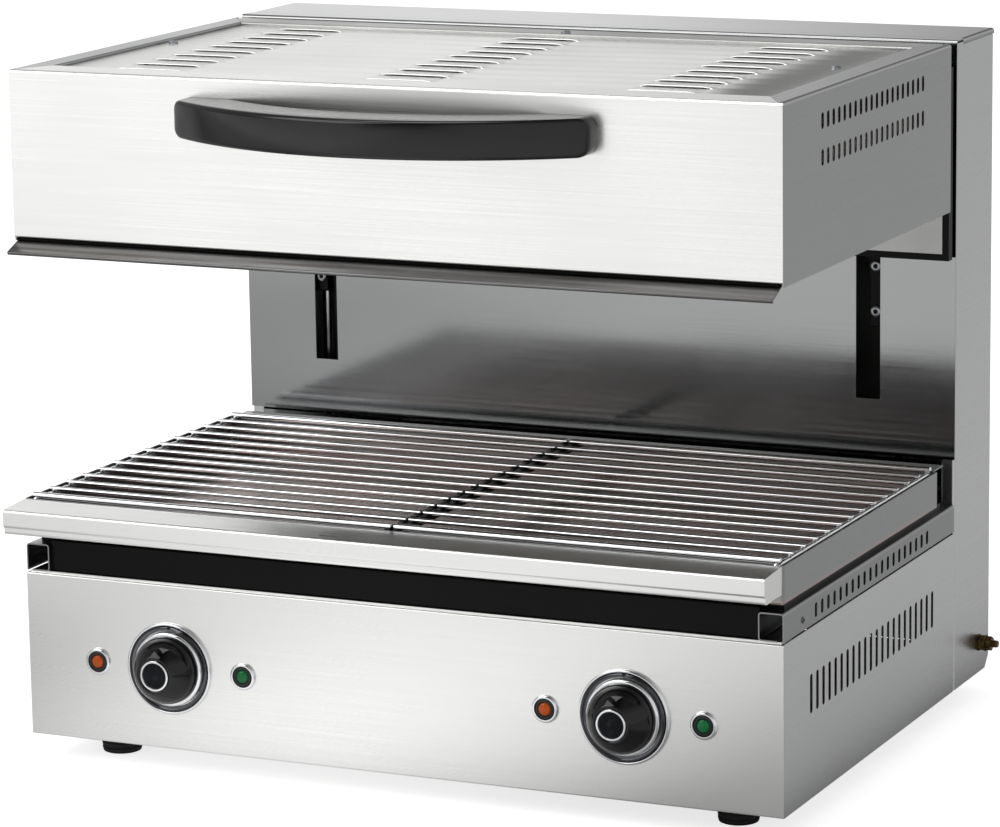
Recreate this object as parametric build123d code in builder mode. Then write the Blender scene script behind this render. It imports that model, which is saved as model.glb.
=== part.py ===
"""Lift salamander grill: a base, a rear column and a counterweighted heating head.

Working frame, in millimetres: X = 0 in the middle, Y = 0 on the face of the front
panels with +Y to the rear, Z = 0 on the worktop.  Every piece is modelled there and
moved once, when it is written, so that the origin is under the middle of the box.
"""
import os
from math import sqrt

from build123d import *

os.makedirs("parts", exist_ok=True)

# ---------------------------------------------------------------- driving dimensions
WIDTH = 600.0
HALF = WIDTH / 2
SHEET = 1.0                 # stainless sheet of the casings
BEND = 2.0                  # centre-line radius of a fold
FIT = 0.3                   # gap left between neighbouring sheets
CUT_THROUGH = 6.0           # depth of a cut that goes clear through a sheet

BASE_BOTTOM = 19.0          # underside of the base, on feet
BASE_TOP = 143.0
RAIL_FOOT = BASE_TOP + 1.5  # the deck plate shows as a dark step under the rails
RAIL_TOP = 165.0
TRAY_BOTTOM = 170.5
TRAY_TOP = 199.0
TRAY_DEPTH = 325.0
COLUMN_FRONT = 363.0
COLUMN_REAR = 451.0
COLUMN_TOP = 519.0
HEAD_BOTTOM = 394.5         # lower edge of the head's front panel
HEAD_SIDE_BOTTOM = 392.0
HEAD_TOP = 518.0
HEAD_REAR = 350.0
TOP_FLANGE = 31.0           # front width of the rim that the head's cover sits in
SIDE_FLANGE = 21.0
REAR_RIM = 28.0
COVER_TOP = 515.3

LIFT_TRAVEL = 140.0
FOOT_X, FOOT_FRONT_Y, FOOT_REAR_Y = 249.0, 45.0, 415.0
FOOT_R = 16.0

KNOB_X, KNOB_Z = 181.0, 80.5
BEZEL_R = 34.7
KNOB_R = 28.0
KNOB_FACE_Y = -25.0
SHAFT_R = 3.0
LAMP_OUTER_X, LAMP_INNER_X, LAMP_Z = 241.0, 120.4, 80.2
LAMP_R, LENS_R = 10.3, 4.8

HANDLE_BOTTOM, HANDLE_TOP = 476.3, 503.7
HANDLE_REACH = 71.0         # how far the bow stands off the front panel
HANDLE_X, HANDLE_HALF = 3.5, 161.0
HANDLE_FRONT_R, HANDLE_REAR_R = 255.0, 236.0
HANDLE_THICK = 36.0
HANDLE_CORNER_R, HANDLE_END_R, HANDLE_EDGE_R = 8.0, 8.0, 3.0
HANDLE_SCREWS = [(HANDLE_X + x, z) for x in (-143.0, 143.0) for z in (484.0, 496.0)]
HANDLE_SCREW_R, HANDLE_SCREW_GRIP, HANDLE_NUT_R, HANDLE_NUT = 2.4, 8.0, 4.5, 3.0
SCREW_HEAD_R, SCREW_HEAD_HEIGHT, SCREW_HEAD_ROUND = 3.6, 2.2, 1.2

ROD_X, ROD_Y, ROD_R = 245.0, 395.0, 6.0
ROD_BOTTOM, ROD_TOP = 150.0, 505.0
CARRIAGE_BOTTOM, CARRIAGE_TOP = 330.0, 450.0
BAR_INNER_X, BAR_Y, BAR_THICK, BAR_BOTTOM = 231.0, 368.0, 9.0, 297.6
ARM_BOTTOM, ARM_TOP = 396.0, 440.0
SLOT_X, SLOT_WIDTH = 230.5, 19.5      # slots in the column's front panel
SLOT_BOTTOM, SLOT_TOP = ARM_BOTTOM - LIFT_TRAVEL - 13, ARM_TOP + 30

PULLEY_X, PULLEY_Y, PULLEY_Z, PULLEY_R = 214.0, 412.0, 478.0, 25.0
ROPE_R = 1.5
WEIGHT_WIDTH, WEIGHT_DEPTH, WEIGHT_HEIGHT, WEIGHT_BOTTOM = 404.0, 50.0, 75.0, 60.0

RACK_RODS = 14
RACK_FIRST_Y, RACK_LAST_Y = 7.0, 320.5
RACK_ROD_Z, RACK_WIRE_Z = 200.6, 196.6
RACK_ROD_R, RACK_WIRE_R = 1.7, 2.5
RACK_INNER_X, RACK_OUTER_X = 0.8, 296.0
RACK_BAR_WIDTH, RACK_BAR_BOTTOM = 5.2, 194.1

STUD_Y, STUD_Z, STUD_R, STUD_REACH = 424.0, 43.0, 3.0, 16.0
GLAND_X, GLAND_Z, GLAND_REACH = -225.0, 62.0, 22.0
GLAND_HEX_R, GLAND_HEX, GLAND_CAP_R, GLAND_CAP_ROUND = 14.5, 7.0, 12.0, 4.0
GLAND_THREAD_R, GLAND_INSIDE, GLAND_NUT_R, GLAND_NUT, GLAND_BORE_R = 9.9, 12.0, 14.0, 5.0, 6.5

# the box reaches from the handle to the cable gland, and from the left side to the stud
BOX_MIDDLE_X = STUD_REACH / 2
BOX_MIDDLE_Y = (COLUMN_REAR + GLAND_REACH - HANDLE_REACH) / 2
LIBRARY_FRAME = Location((-BOX_MIDDLE_X, -BOX_MIDDLE_Y, 0))


def front_plane(y):
    """Upright plane at depth y; local x is X, local y is Z, and it faces the front."""
    return Plane.XZ.offset(-y)


def side_plane(x):
    """Upright plane at width x; local x is Y, local y is Z, and it faces +X."""
    return Plane.YZ.offset(x)


def level_plane(z):
    """Flat plane at height z."""
    return Plane.XY.offset(z)


def write_step(piece):
    """Writes a labelled piece, moved into the library frame."""
    export_step(piece.moved(LIBRARY_FRAME), f"parts/{piece.label}.step")


# ---------------------------------------------------------------- base casing
PAN_SLOT_PITCH, PAN_SLOT_LENGTH, PAN_SLOT_WIDTH = 16.0, 60.0, 5.0
FOOT_BORE_R, FOOT_SCREW_R, FOOT_HEAD_R, FOOT_HEAD = 6.0, 2.9, 5.0, 4.0
FOOT_SEAT, FOOT_NUT_R, FOOT_NUT = 8.0, 5.5, 5.0
with BuildPart() as base_pan:
    PAN_EDGE = 14.0
    PAN_INSET = 2.5
    with BuildSketch(level_plane(BASE_BOTTOM)):
        with Locations((0, COLUMN_REAR / 2)):
            Rectangle(WIDTH - 2 * PAN_INSET - 2 * SHEET, COLUMN_REAR - 6 * SHEET)
    extrude(amount=PAN_EDGE)
    offset(amount=-SHEET, openings=base_pan.faces().sort_by(Axis.Z)[-1])
    with BuildSketch(level_plane(BASE_BOTTOM)):
        with Locations((0, COLUMN_REAR / 2)):
            with GridLocations(PAN_SLOT_PITCH, 2 * PAN_SLOT_LENGTH, 19, 2):
                SlotOverall(PAN_SLOT_LENGTH, PAN_SLOT_WIDTH, rotation=90)
    extrude(amount=2 * SHEET, mode=Mode.SUBTRACT)
    with BuildSketch(level_plane(BASE_BOTTOM)):
        for foot_y in (FOOT_FRONT_Y, FOOT_REAR_Y):
            with Locations((-FOOT_X, foot_y), (FOOT_X, foot_y)):
                Circle(FOOT_SCREW_R + 0.3)
    extrude(amount=2 * SHEET, mode=Mode.SUBTRACT)
base_pan.part.label = "base_pan"
write_step(base_pan.part)

with BuildPart() as feet:
    for foot_x in (-FOOT_X, FOOT_X):
        for foot_y in (FOOT_FRONT_Y, FOOT_REAR_Y):
            with BuildSketch(level_plane(0)):
                with Locations((foot_x, foot_y)):
                    Circle(FOOT_R - 1.5)
            extrude(amount=BASE_BOTTOM, taper=-5)
    fillet(feet.edges().group_by(Axis.Z)[0], radius=1.2)
    for foot_x in (-FOOT_X, FOOT_X):
        for foot_y in (FOOT_FRONT_Y, FOOT_REAR_Y):
            with BuildSketch(level_plane(0)):
                with Locations((foot_x, foot_y)):
                    Circle(FOOT_BORE_R)
            extrude(amount=FOOT_SEAT, mode=Mode.SUBTRACT)
            with BuildSketch(level_plane(0)):
                with Locations((foot_x, foot_y)):
                    Circle(FOOT_SCREW_R + 0.1)
            extrude(amount=BASE_BOTTOM, mode=Mode.SUBTRACT)
feet.part.label = "feet"
write_step(feet.part)

with BuildPart() as foot_screws:
    for foot_x in (-FOOT_X, FOOT_X):
        for foot_y in (FOOT_FRONT_Y, FOOT_REAR_Y):
            with BuildSketch(level_plane(FOOT_SEAT - FOOT_HEAD)):
                with Locations((foot_x, foot_y)):
                    Circle(FOOT_HEAD_R)
            extrude(amount=FOOT_HEAD)
            with BuildSketch(level_plane(FOOT_SEAT)):
                with Locations((foot_x, foot_y)):
                    Circle(FOOT_SCREW_R)
            extrude(amount=BASE_BOTTOM + SHEET + FOOT_NUT + 1 - FOOT_SEAT)
            with BuildSketch(level_plane(BASE_BOTTOM + SHEET)):
                with Locations((foot_x, foot_y)):
                    RegularPolygon(FOOT_NUT_R, 6)
                    Circle(FOOT_SCREW_R, mode=Mode.SUBTRACT)
            extrude(amount=FOOT_NUT)
foot_screws.part.label = "foot_screws"
write_step(foot_screws.part)

SHAFT_HOLE_R, LAMP_BODY_R, LAMP_BODY, LENS_BODY = 5.0, 6.8, 14.0, 19.0
with BuildPart() as control_panel:
    with BuildSketch(side_plane(-HALF)):
        with BuildLine():
            FilletPolyline(
                (20, BASE_TOP - SHEET / 2),
                (SHEET / 2, BASE_TOP - SHEET / 2),
                (SHEET / 2, BASE_BOTTOM + SHEET / 2),
                (2.4, BASE_BOTTOM + SHEET / 2),
                radius=0.7,
            )
        trace(line_width=SHEET)
    extrude(amount=WIDTH)
    with BuildSketch(front_plane(0)):
        with Locations((-KNOB_X, KNOB_Z), (KNOB_X, KNOB_Z)):
            Circle(SHAFT_HOLE_R)
        for lamp_x in (LAMP_OUTER_X, LAMP_INNER_X):
            with Locations((-lamp_x, LAMP_Z), (lamp_x, LAMP_Z)):
                Circle(LAMP_BODY_R + 0.2)
    extrude(amount=-2 * SHEET, mode=Mode.SUBTRACT)
    # the turned-in edges stop short of the base sides
    with BuildSketch(level_plane(BASE_BOTTOM)):
        for side in (-1, 1):
            with Locations((side * HALF, SHEET + 15)):
                Rectangle(2 * SHEET + 2 * FIT, 30)
    extrude(amount=BASE_TOP - BASE_BOTTOM, mode=Mode.SUBTRACT)
control_panel.part.label = "control_panel"
write_step(control_panel.part)

SIDE_SLOTS, SIDE_SLOT_PITCH, SIDE_SLOT_FIRST = 22, 12.3, 54.5
SIDE_SLOT_Z, SIDE_SLOT_LENGTH, SLOT_GAUGE = 95.3, 28.5, 5.0


def slot_row(first_y, pitch, count, middle_z, length):
    """Cuts upright ventilation slots in a row from the sketch of a side plane."""
    middle_y = first_y + pitch * (count - 1) / 2
    with Locations((middle_y, middle_z)):
        with GridLocations(pitch, 1, count, 1):
            SlotOverall(length, SLOT_GAUGE, rotation=90, mode=Mode.SUBTRACT)


with BuildPart() as base_sides:
    for outer_x in (-HALF + SHEET, HALF):
        with BuildSketch(side_plane(outer_x)):
            with Locations((SHEET + FIT, BASE_BOTTOM)):
                Rectangle(
                    COLUMN_FRONT - SHEET - 2 * FIT,
                    BASE_TOP - BASE_BOTTOM,
                    align=(Align.MIN, Align.MIN),
                )
            slot_row(SIDE_SLOT_FIRST, SIDE_SLOT_PITCH, SIDE_SLOTS, SIDE_SLOT_Z, SIDE_SLOT_LENGTH)
        extrude(amount=-SHEET)
base_sides.part.label = "base_sides"
write_step(base_sides.part)

with BuildPart() as deck_plate:
    DECK_INSET = 2.5
    with BuildSketch(side_plane(-HALF + DECK_INSET)):
        with BuildLine():
            Polyline(
                (DECK_INSET, BASE_TOP),
                (COLUMN_FRONT - 1, BASE_TOP),
                (COLUMN_FRONT - 1, RAIL_FOOT),
                (DECK_INSET, RAIL_FOOT),
                close=True,
            )
        make_face()
    extrude(amount=WIDTH - 2 * DECK_INSET)
deck_plate.part.label = "deck_plate"
write_step(deck_plate.part)

# ---------------------------------------------------------------- rails, baffle, runners
RAIL_WIDTH = 19.0
RAIL_SLOTS, RAIL_SLOT_FIRST, RAIL_SLOT_PITCH = 20, 64.0, 12.45
RAIL_SLOT_Z, RAIL_SLOT_LENGTH = 153.6, 10.5
RAIL_HOLE_Y, RAIL_HOLE_Z, RAIL_HOLE_R = 38.0, 152.2, 2.6

with BuildPart() as side_rails:
    for side in (-1, 1):
        outer = side * (HALF - SHEET / 2)
        inner = side * (HALF - RAIL_WIDTH + SHEET / 2)
        low, high = RAIL_FOOT + SHEET / 2, RAIL_TOP - SHEET / 2
        with BuildSketch(front_plane(1)):
            with BuildLine():
                FilletPolyline(
                    (outer - side * 4.5, low),
                    (inner, low),
                    (inner, high),
                    (outer, high),
                    (outer, RAIL_FOOT),
                    radius=BEND,
                )
            trace(line_width=SHEET)
        extrude(amount=-(COLUMN_FRONT - 1 - FIT))
    for side in (-1, 1):
        with BuildSketch(side_plane(side * (HALF - SHEET / 2))):
            middle_y = RAIL_SLOT_FIRST + RAIL_SLOT_PITCH * (RAIL_SLOTS - 1) / 2
            with Locations((middle_y, RAIL_SLOT_Z)):
                with GridLocations(RAIL_SLOT_PITCH, 1, RAIL_SLOTS, 1):
                    SlotOverall(RAIL_SLOT_LENGTH, SLOT_GAUGE, rotation=90)
            with Locations((RAIL_HOLE_Y, RAIL_HOLE_Z)):
                Circle(RAIL_HOLE_R)
        extrude(amount=SHEET, both=True, mode=Mode.SUBTRACT)
side_rails.part.label = "side_rails"
write_step(side_rails.part)

BAFFLE_Y, BAFFLE_TOP = 5.0, 168.5
with BuildPart() as front_baffle:
    with BuildSketch(side_plane(-HALF + RAIL_WIDTH + FIT)):
        with BuildLine():
            FilletPolyline(
                (BAFFLE_Y + 14, RAIL_FOOT + SHEET / 2),
                (BAFFLE_Y, RAIL_FOOT + SHEET / 2),
                (BAFFLE_Y, BAFFLE_TOP - SHEET / 2),
                (BAFFLE_Y + 14, BAFFLE_TOP - SHEET / 2),
                radius=1.2,
            )
        trace(line_width=SHEET)
    extrude(amount=WIDTH - 2 * RAIL_WIDTH - 2 * FIT)
front_baffle.part.label = "front_baffle"
write_step(front_baffle.part)

RUNNER_WIDTH, RUNNER_INSET = 14.0, 5.0
with BuildPart() as tray_runners:
    for side in (-1, 1):
        with BuildSketch(level_plane(RAIL_TOP)):
            with Locations((side * (HALF - RUNNER_INSET - RUNNER_WIDTH / 2), 180)):
                Rectangle(RUNNER_WIDTH, 330)
        extrude(amount=TRAY_BOTTOM - RAIL_TOP)
tray_runners.part.label = "tray_runners"
write_step(tray_runners.part)

# ---------------------------------------------------------------- column
PANEL_BOTTOM = 200.0
COLUMN_FLANGE = 10.0        # front flange of each column side
TOP_RETURN = 15.0
with BuildPart() as column_front_panel:
    with BuildSketch(side_plane(-HALF)):
        with BuildLine():
            FilletPolyline(
                (COLUMN_FRONT + SHEET / 2, PANEL_BOTTOM),
                (COLUMN_FRONT + SHEET / 2, COLUMN_TOP - SHEET / 2),
                (COLUMN_FRONT + TOP_RETURN, COLUMN_TOP - SHEET / 2),
                radius=BEND,
            )
        trace(line_width=SHEET)
    extrude(amount=WIDTH)
    slot_length = SLOT_TOP - SLOT_BOTTOM
    with BuildSketch(front_plane(COLUMN_FRONT)):
        with Locations((-SLOT_X, (SLOT_TOP + SLOT_BOTTOM) / 2), (SLOT_X, (SLOT_TOP + SLOT_BOTTOM) / 2)):
            Rectangle(SLOT_WIDTH, slot_length)
    extrude(amount=-3 * SHEET, mode=Mode.SUBTRACT)
column_front_panel.part.label = "column_front_panel"
write_step(column_front_panel.part)

with BuildPart() as column_lower_plate:
    with BuildSketch(front_plane(COLUMN_FRONT)):
        with Locations((0, RAIL_FOOT)):
            Rectangle(
                WIDTH - 2 * COLUMN_FLANGE - 2 * FIT,
                PANEL_BOTTOM - 1.8 - RAIL_FOOT,
                align=(Align.CENTER, Align.MIN),
            )
        with Locations((-120, 172), (120, 172)):
            SlotOverall(90, 8, mode=Mode.SUBTRACT)
    extrude(amount=-SHEET)
column_lower_plate.part.label = "column_lower_plate"
write_step(column_lower_plate.part)

REAR_FLANGE = 16.0
CORNER_CUT = 12.0           # slanted rear bottom corner of the column sides


# each side of the column is a channel with a rear flange and a front flange, which the
# front panel lies on
with BuildPart() as column_sides:
    for side in (-1, 1):
        outer = side * (HALF - SHEET / 2)
        front, rear = COLUMN_FRONT + 3 * SHEET / 2 + FIT, COLUMN_REAR - 3 * SHEET / 2
        with BuildSketch(level_plane(BASE_BOTTOM)):
            with BuildLine():
                FilletPolyline(
                    (outer - side * (COLUMN_FLANGE - SHEET / 2), front),
                    (outer, front),
                    (outer, rear),
                    (outer - side * REAR_FLANGE, rear),
                    radius=BEND,
                )
            trace(line_width=SHEET)
        extrude(amount=COLUMN_TOP - BASE_BOTTOM)
    with BuildSketch(side_plane(-HALF)):
        with BuildLine():
            Polyline(
                (COLUMN_REAR + 1, BASE_BOTTOM - 1),
                (COLUMN_REAR - CORNER_CUT - 1, BASE_BOTTOM - 1),
                (COLUMN_REAR + 1, BASE_BOTTOM + CORNER_CUT + 1),
                close=True,
            )
        make_face()
    extrude(amount=WIDTH, mode=Mode.SUBTRACT)
    # the top cap turns down over the sides behind the front panel's top return
    with BuildSketch(side_plane(-HALF)):
        with Locations((COLUMN_FRONT + TOP_RETURN, COLUMN_TOP)):
            Rectangle(COLUMN_REAR, 2 * (2 * BEND + FIT), align=(Align.MIN, Align.CENTER))
        with Locations((COLUMN_FRONT, COLUMN_TOP)):
            Rectangle(COLUMN_REAR, 2 * (BEND + FIT), align=(Align.MIN, Align.CENTER))
    extrude(amount=WIDTH, mode=Mode.SUBTRACT)
    with BuildSketch(side_plane(HALF)):
        with Locations((STUD_Y, STUD_Z)):
            Circle(STUD_R + 0.2)
    extrude(amount=2 * SHEET, both=True, mode=Mode.SUBTRACT)
    for side in (-1, 1):
        with BuildSketch(side_plane(side * (HALF - COLUMN_FLANGE))):
            with Locations((COLUMN_FRONT + SHEET + FIT, BASE_BOTTOM)):
                Rectangle(3 * SHEET, RAIL_FOOT - BASE_BOTTOM - 2, align=(Align.CENTER, Align.MIN))
        extrude(amount=side * (COLUMN_FLANGE - 3), mode=Mode.SUBTRACT)
column_sides.part.label = "column_sides"
write_step(column_sides.part)

with BuildPart() as column_top_cap:
    with BuildSketch(front_plane(COLUMN_FRONT + TOP_RETURN + FIT)):
        with BuildLine():
            FilletPolyline(
                (-HALF + SHEET / 2, COLUMN_TOP - 2 * BEND),
                (-HALF + SHEET / 2, COLUMN_TOP - SHEET / 2),
                (HALF - SHEET / 2, COLUMN_TOP - SHEET / 2),
                (HALF - SHEET / 2, COLUMN_TOP - 2 * BEND),
                radius=BEND,
            )
        trace(line_width=SHEET)
    extrude(amount=-(COLUMN_REAR - COLUMN_FRONT - TOP_RETURN - FIT))
column_top_cap.part.label = "column_top_cap"
write_step(column_top_cap.part)

BACK_COVER_HALF = HALF - 5.0
BACK_SLOT_ZS, BACK_SLOTS, BACK_SLOT_PITCH, BACK_SLOT_LENGTH = (120.0, 440.0), 21, 18.0, 42.0
BACK_CORNER_R = 4.0
with BuildPart() as column_back_cover:
    with BuildSketch(front_plane(COLUMN_REAR - SHEET)):
        with Locations((0, BASE_BOTTOM + CORNER_CUT + 2)):
            Rectangle(
                2 * BACK_COVER_HALF,
                COLUMN_TOP - 2 * BEND - FIT - BASE_BOTTOM - CORNER_CUT - 2,
                align=(Align.CENTER, Align.MIN),
            )
        for slot_z in BACK_SLOT_ZS:
            with Locations((0, slot_z)):
                with GridLocations(BACK_SLOT_PITCH, 1, BACK_SLOTS, 1):
                    SlotOverall(BACK_SLOT_LENGTH, SLOT_GAUGE, rotation=90, mode=Mode.SUBTRACT)
        with Locations((GLAND_X, GLAND_Z)):
            Circle(GLAND_THREAD_R + 0.3, mode=Mode.SUBTRACT)
    extrude(amount=-SHEET)
    fillet(column_back_cover.edges().filter_by(Axis.Y), radius=BACK_CORNER_R)
column_back_cover.part.label = "column_back_cover"
write_step(column_back_cover.part)

BACK_SCREW_X, BACK_SCREW_ZS = HALF - 11.0, (45.0, 200.0, 350.0, 500.0)
with BuildPart() as back_cover_screws:
    for screw_z in BACK_SCREW_ZS:
        for screw_x in (-BACK_SCREW_X, BACK_SCREW_X):
            with BuildSketch(front_plane(COLUMN_REAR)):
                with Locations((screw_x, screw_z)):
                    Circle(SCREW_HEAD_R)
            extrude(amount=-SCREW_HEAD_HEIGHT)
    fillet(back_cover_screws.edges().group_by(Axis.Y)[-1], radius=SCREW_HEAD_ROUND)
back_cover_screws.part.label = "back_cover_screws"
write_step(back_cover_screws.part)

# ---------------------------------------------------------------- lift guides and pulleys
with BuildPart() as guide_rods:
    with BuildSketch(level_plane(ROD_BOTTOM)):
        with Locations((-ROD_X, ROD_Y), (ROD_X, ROD_Y)):
            Circle(ROD_R)
    extrude(amount=ROD_TOP - ROD_BOTTOM)
    chamfer(guide_rods.edges().group_by(Axis.Z)[-1], length=1)
guide_rods.part.label = "guide_rods"
write_step(guide_rods.part)

CLAMP_HEIGHT, CLAMP_DEPTH = 12.0, 18.0
with BuildPart() as rod_clamps:
    for clamp_z in (ROD_BOTTOM + 2, ROD_TOP - CLAMP_HEIGHT - 2):
        for side in (-1, 1):
            clamp_inner = ROD_X - 10
            with BuildSketch(level_plane(clamp_z)):
                with Locations((side * (HALF - SHEET + clamp_inner) / 2, ROD_Y)):
                    Rectangle(HALF - SHEET - clamp_inner, CLAMP_DEPTH)
                with Locations((side * ROD_X, ROD_Y)):
                    Circle(ROD_R, mode=Mode.SUBTRACT)
            extrude(amount=CLAMP_HEIGHT)
rod_clamps.part.label = "rod_clamps"
write_step(rod_clamps.part)

PIN_R, PIN_HEAD, HUB_HALF, CHEEK, CHEEK_GAP, CHEEK_R = 4.0, 1.5, 5.0, 3.0, 0.8, 9.0
BRACKET_WIDTH, BRACKET_THICK = 30.0, 2.0
HUB_R, WEB_HALF, RIM_HALF, RIM_RISE = 11.0, 2.5, 4.6, 3.0
LIGHTENING_HOLES, LIGHTENING_R, LIGHTENING_CIRCLE_R = 5, 2.2, 15.8
with BuildPart() as pulley_brackets:
    for side in (-1, 1):
        for front_y in (
            PULLEY_Y - HUB_HALF - CHEEK_GAP - CHEEK,
            PULLEY_Y + HUB_HALF + CHEEK_GAP,
        ):
            with BuildSketch(front_plane(front_y)):
                with Locations((side * PULLEY_X, PULLEY_Z)):
                    Circle(CHEEK_R)
                with Locations((side * PULLEY_X, PULLEY_Z)):
                    Rectangle(
                        2 * CHEEK_R,
                        COLUMN_TOP - SHEET - PULLEY_Z,
                        align=(Align.CENTER, Align.MIN),
                    )
            extrude(amount=-CHEEK)
        with BuildSketch(level_plane(COLUMN_TOP - SHEET - BRACKET_THICK)):
            with Locations((side * PULLEY_X, PULLEY_Y)):
                Rectangle(BRACKET_WIDTH, 2 * (HUB_HALF + CHEEK_GAP + CHEEK))
        extrude(amount=BRACKET_THICK)
    # a headed pin through each pair of cheeks carries the pulley
    pin_half = HUB_HALF + CHEEK_GAP + CHEEK + PIN_HEAD
    with BuildSketch(front_plane(PULLEY_Y - pin_half)):
        with Locations((-PULLEY_X, PULLEY_Z), (PULLEY_X, PULLEY_Z)):
            Circle(PIN_R)
    extrude(amount=-2 * pin_half)
    with BuildSketch(front_plane(PULLEY_Y - pin_half)):
        with Locations((-PULLEY_X, PULLEY_Z), (PULLEY_X, PULLEY_Z)):
            Circle(PIN_R + 2)
    extrude(amount=-PIN_HEAD)
pulley_brackets.part.label = "pulley_brackets"
write_step(pulley_brackets.part)


def make_pulley(side, label):
    """Grooved rope wheel that turns on its pin."""
    with BuildPart() as wheel:
        pin_plane = Plane(origin=(side * PULLEY_X, PULLEY_Y, PULLEY_Z), x_dir=(1, 0, 0), z_dir=(0, 0, 1))
        with BuildSketch(pin_plane):
            with BuildLine():
                Polyline(
                    (PIN_R + 0.05, -HUB_HALF),
                    (HUB_R, -HUB_HALF),
                    (HUB_R + 1.5, -WEB_HALF),
                    (PULLEY_R - 5, -WEB_HALF),
                    (PULLEY_R - 4, -RIM_HALF),
                    (PULLEY_R + RIM_RISE, -RIM_HALF),
                    (PULLEY_R + RIM_RISE, 1 - RIM_HALF),
                    (PULLEY_R - ROPE_R - 0.3, -ROPE_R - 0.2),
                    (PULLEY_R - ROPE_R - 0.3, ROPE_R + 0.2),
                    (PULLEY_R + RIM_RISE, RIM_HALF - 1),
                    (PULLEY_R + RIM_RISE, RIM_HALF),
                    (PULLEY_R - 4, RIM_HALF),
                    (PULLEY_R - 5, WEB_HALF),
                    (HUB_R + 1.5, WEB_HALF),
                    (HUB_R, HUB_HALF),
                    (PIN_R + 0.05, HUB_HALF),
                    close=True,
                )
            make_face()
        revolve(axis=Axis((side * PULLEY_X, PULLEY_Y, PULLEY_Z), (0, 1, 0)))
        with BuildSketch(front_plane(PULLEY_Y - HUB_HALF)):
            with Locations((side * PULLEY_X, PULLEY_Z)):
                with PolarLocations(LIGHTENING_CIRCLE_R, LIGHTENING_HOLES):
                    Circle(LIGHTENING_R)
        extrude(amount=-2 * HUB_HALF, mode=Mode.SUBTRACT)
    wheel.part.label = label
    write_step(wheel.part)


make_pulley(-1, "pulley_left")
make_pulley(1, "pulley_right")

WEIGHT_TOP = WEIGHT_BOTTOM + WEIGHT_HEIGHT
with BuildPart() as head_ropes:
    with BuildSketch(level_plane(CARRIAGE_TOP)):
        with Locations((-PULLEY_X - PULLEY_R, PULLEY_Y), (PULLEY_X + PULLEY_R, PULLEY_Y)):
            Circle(ROPE_R)
    extrude(amount=PULLEY_Z - CARRIAGE_TOP)
head_ropes.part.label = "head_ropes"
write_step(head_ropes.part)

with BuildPart() as weight_ropes:
    with BuildSketch(level_plane(WEIGHT_TOP)):
        with Locations((-PULLEY_X + PULLEY_R, PULLEY_Y), (PULLEY_X - PULLEY_R, PULLEY_Y)):
            Circle(ROPE_R)
    extrude(amount=PULLEY_Z - WEIGHT_TOP)
weight_ropes.part.label = "weight_ropes"
write_step(weight_ropes.part)

with BuildPart() as rope_bends:
    for side in (-1, 1):
        with BuildSketch(level_plane(PULLEY_Z)):
            with Locations((side * PULLEY_X + PULLEY_R, PULLEY_Y)):
                Circle(ROPE_R)
        revolve(axis=Axis((side * PULLEY_X, PULLEY_Y, PULLEY_Z), (0, -1, 0)), revolution_arc=180)
rope_bends.part.label = "rope_bends"
write_step(rope_bends.part)

with BuildPart() as counterweight:
    with BuildSketch(level_plane(WEIGHT_BOTTOM)):
        with Locations((0, PULLEY_Y)):
            Rectangle(WEIGHT_WIDTH, WEIGHT_DEPTH)
    extrude(amount=WEIGHT_HEIGHT)
    chamfer(counterweight.edges(), length=2)
counterweight.part.label = "counterweight"
write_step(counterweight.part)

# ---------------------------------------------------------------- knobs, lamps, wiring
with BuildPart() as knob_bezels:
    for side in (-1, 1):
        bezel_plane = Plane(origin=(side * KNOB_X, 0, KNOB_Z), x_dir=(1, 0, 0), z_dir=(0, 0, 1))
        with BuildSketch(bezel_plane):
            with BuildLine():
                Polyline(
                    (6, 0),
                    (BEZEL_R, 0),
                    (BEZEL_R, -1.6),
                    (BEZEL_R - 0.8, -2.6),
                    (BEZEL_R - 2.0, -2.6),
                    (BEZEL_R - 3.2, -1.2),
                    (6, -1.0),
                    close=True,
                )
            make_face()
        revolve(axis=Axis((side * KNOB_X, 0, KNOB_Z), (0, 1, 0)))
knob_bezels.part.label = "knob_bezels"
write_step(knob_bezels.part)

CAP_R, CAP_THICK, CAP_EDGE_R, SHAFT_SEAT = 11.4, 2.0, 0.5, 5.0


def make_knob(side, label):
    """Round heat knob: a skirt, a domed body and a seat for the cap in its face."""
    with BuildPart() as knob:
        origin = (side * KNOB_X, 0, KNOB_Z)
        with BuildSketch(Plane(origin=origin, x_dir=(1, 0, 0), z_dir=(0, 0, 1))):
            with BuildLine():
                Polyline(
                    (SHAFT_R, KNOB_FACE_Y + SHAFT_SEAT),
                    (SHAFT_R, -1.8),
                    (KNOB_R, -1.8),
                    (KNOB_R, -3.4),
                    (KNOB_R - 2, -5.0),
                )
                ThreePointArc((KNOB_R - 2, -5.0), (22.3, -15.5), (13.5, KNOB_FACE_Y + 0.4))
                Polyline(
                    (13.5, KNOB_FACE_Y + 0.4),
                    (CAP_R + 0.2, KNOB_FACE_Y + 0.4),
                    (CAP_R + 0.2, KNOB_FACE_Y + CAP_THICK),
                    (SHAFT_R, KNOB_FACE_Y + CAP_THICK),
                    (SHAFT_R, KNOB_FACE_Y + SHAFT_SEAT),
                )
            make_face()
        revolve(axis=Axis(origin, (0, 1, 0)))
    knob.part.label = label
    write_step(knob.part)


def make_knob_cap(side, label):
    """Turned metal disc let into the knob's face."""
    with BuildPart() as cap:
        with BuildSketch(front_plane(KNOB_FACE_Y)):
            with Locations((side * KNOB_X, KNOB_Z)):
                Circle(CAP_R)
        extrude(amount=-CAP_THICK)
        fillet(cap.edges().group_by(Axis.Y)[0], radius=CAP_EDGE_R)
    cap.part.label = label
    write_step(cap.part)


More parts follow.
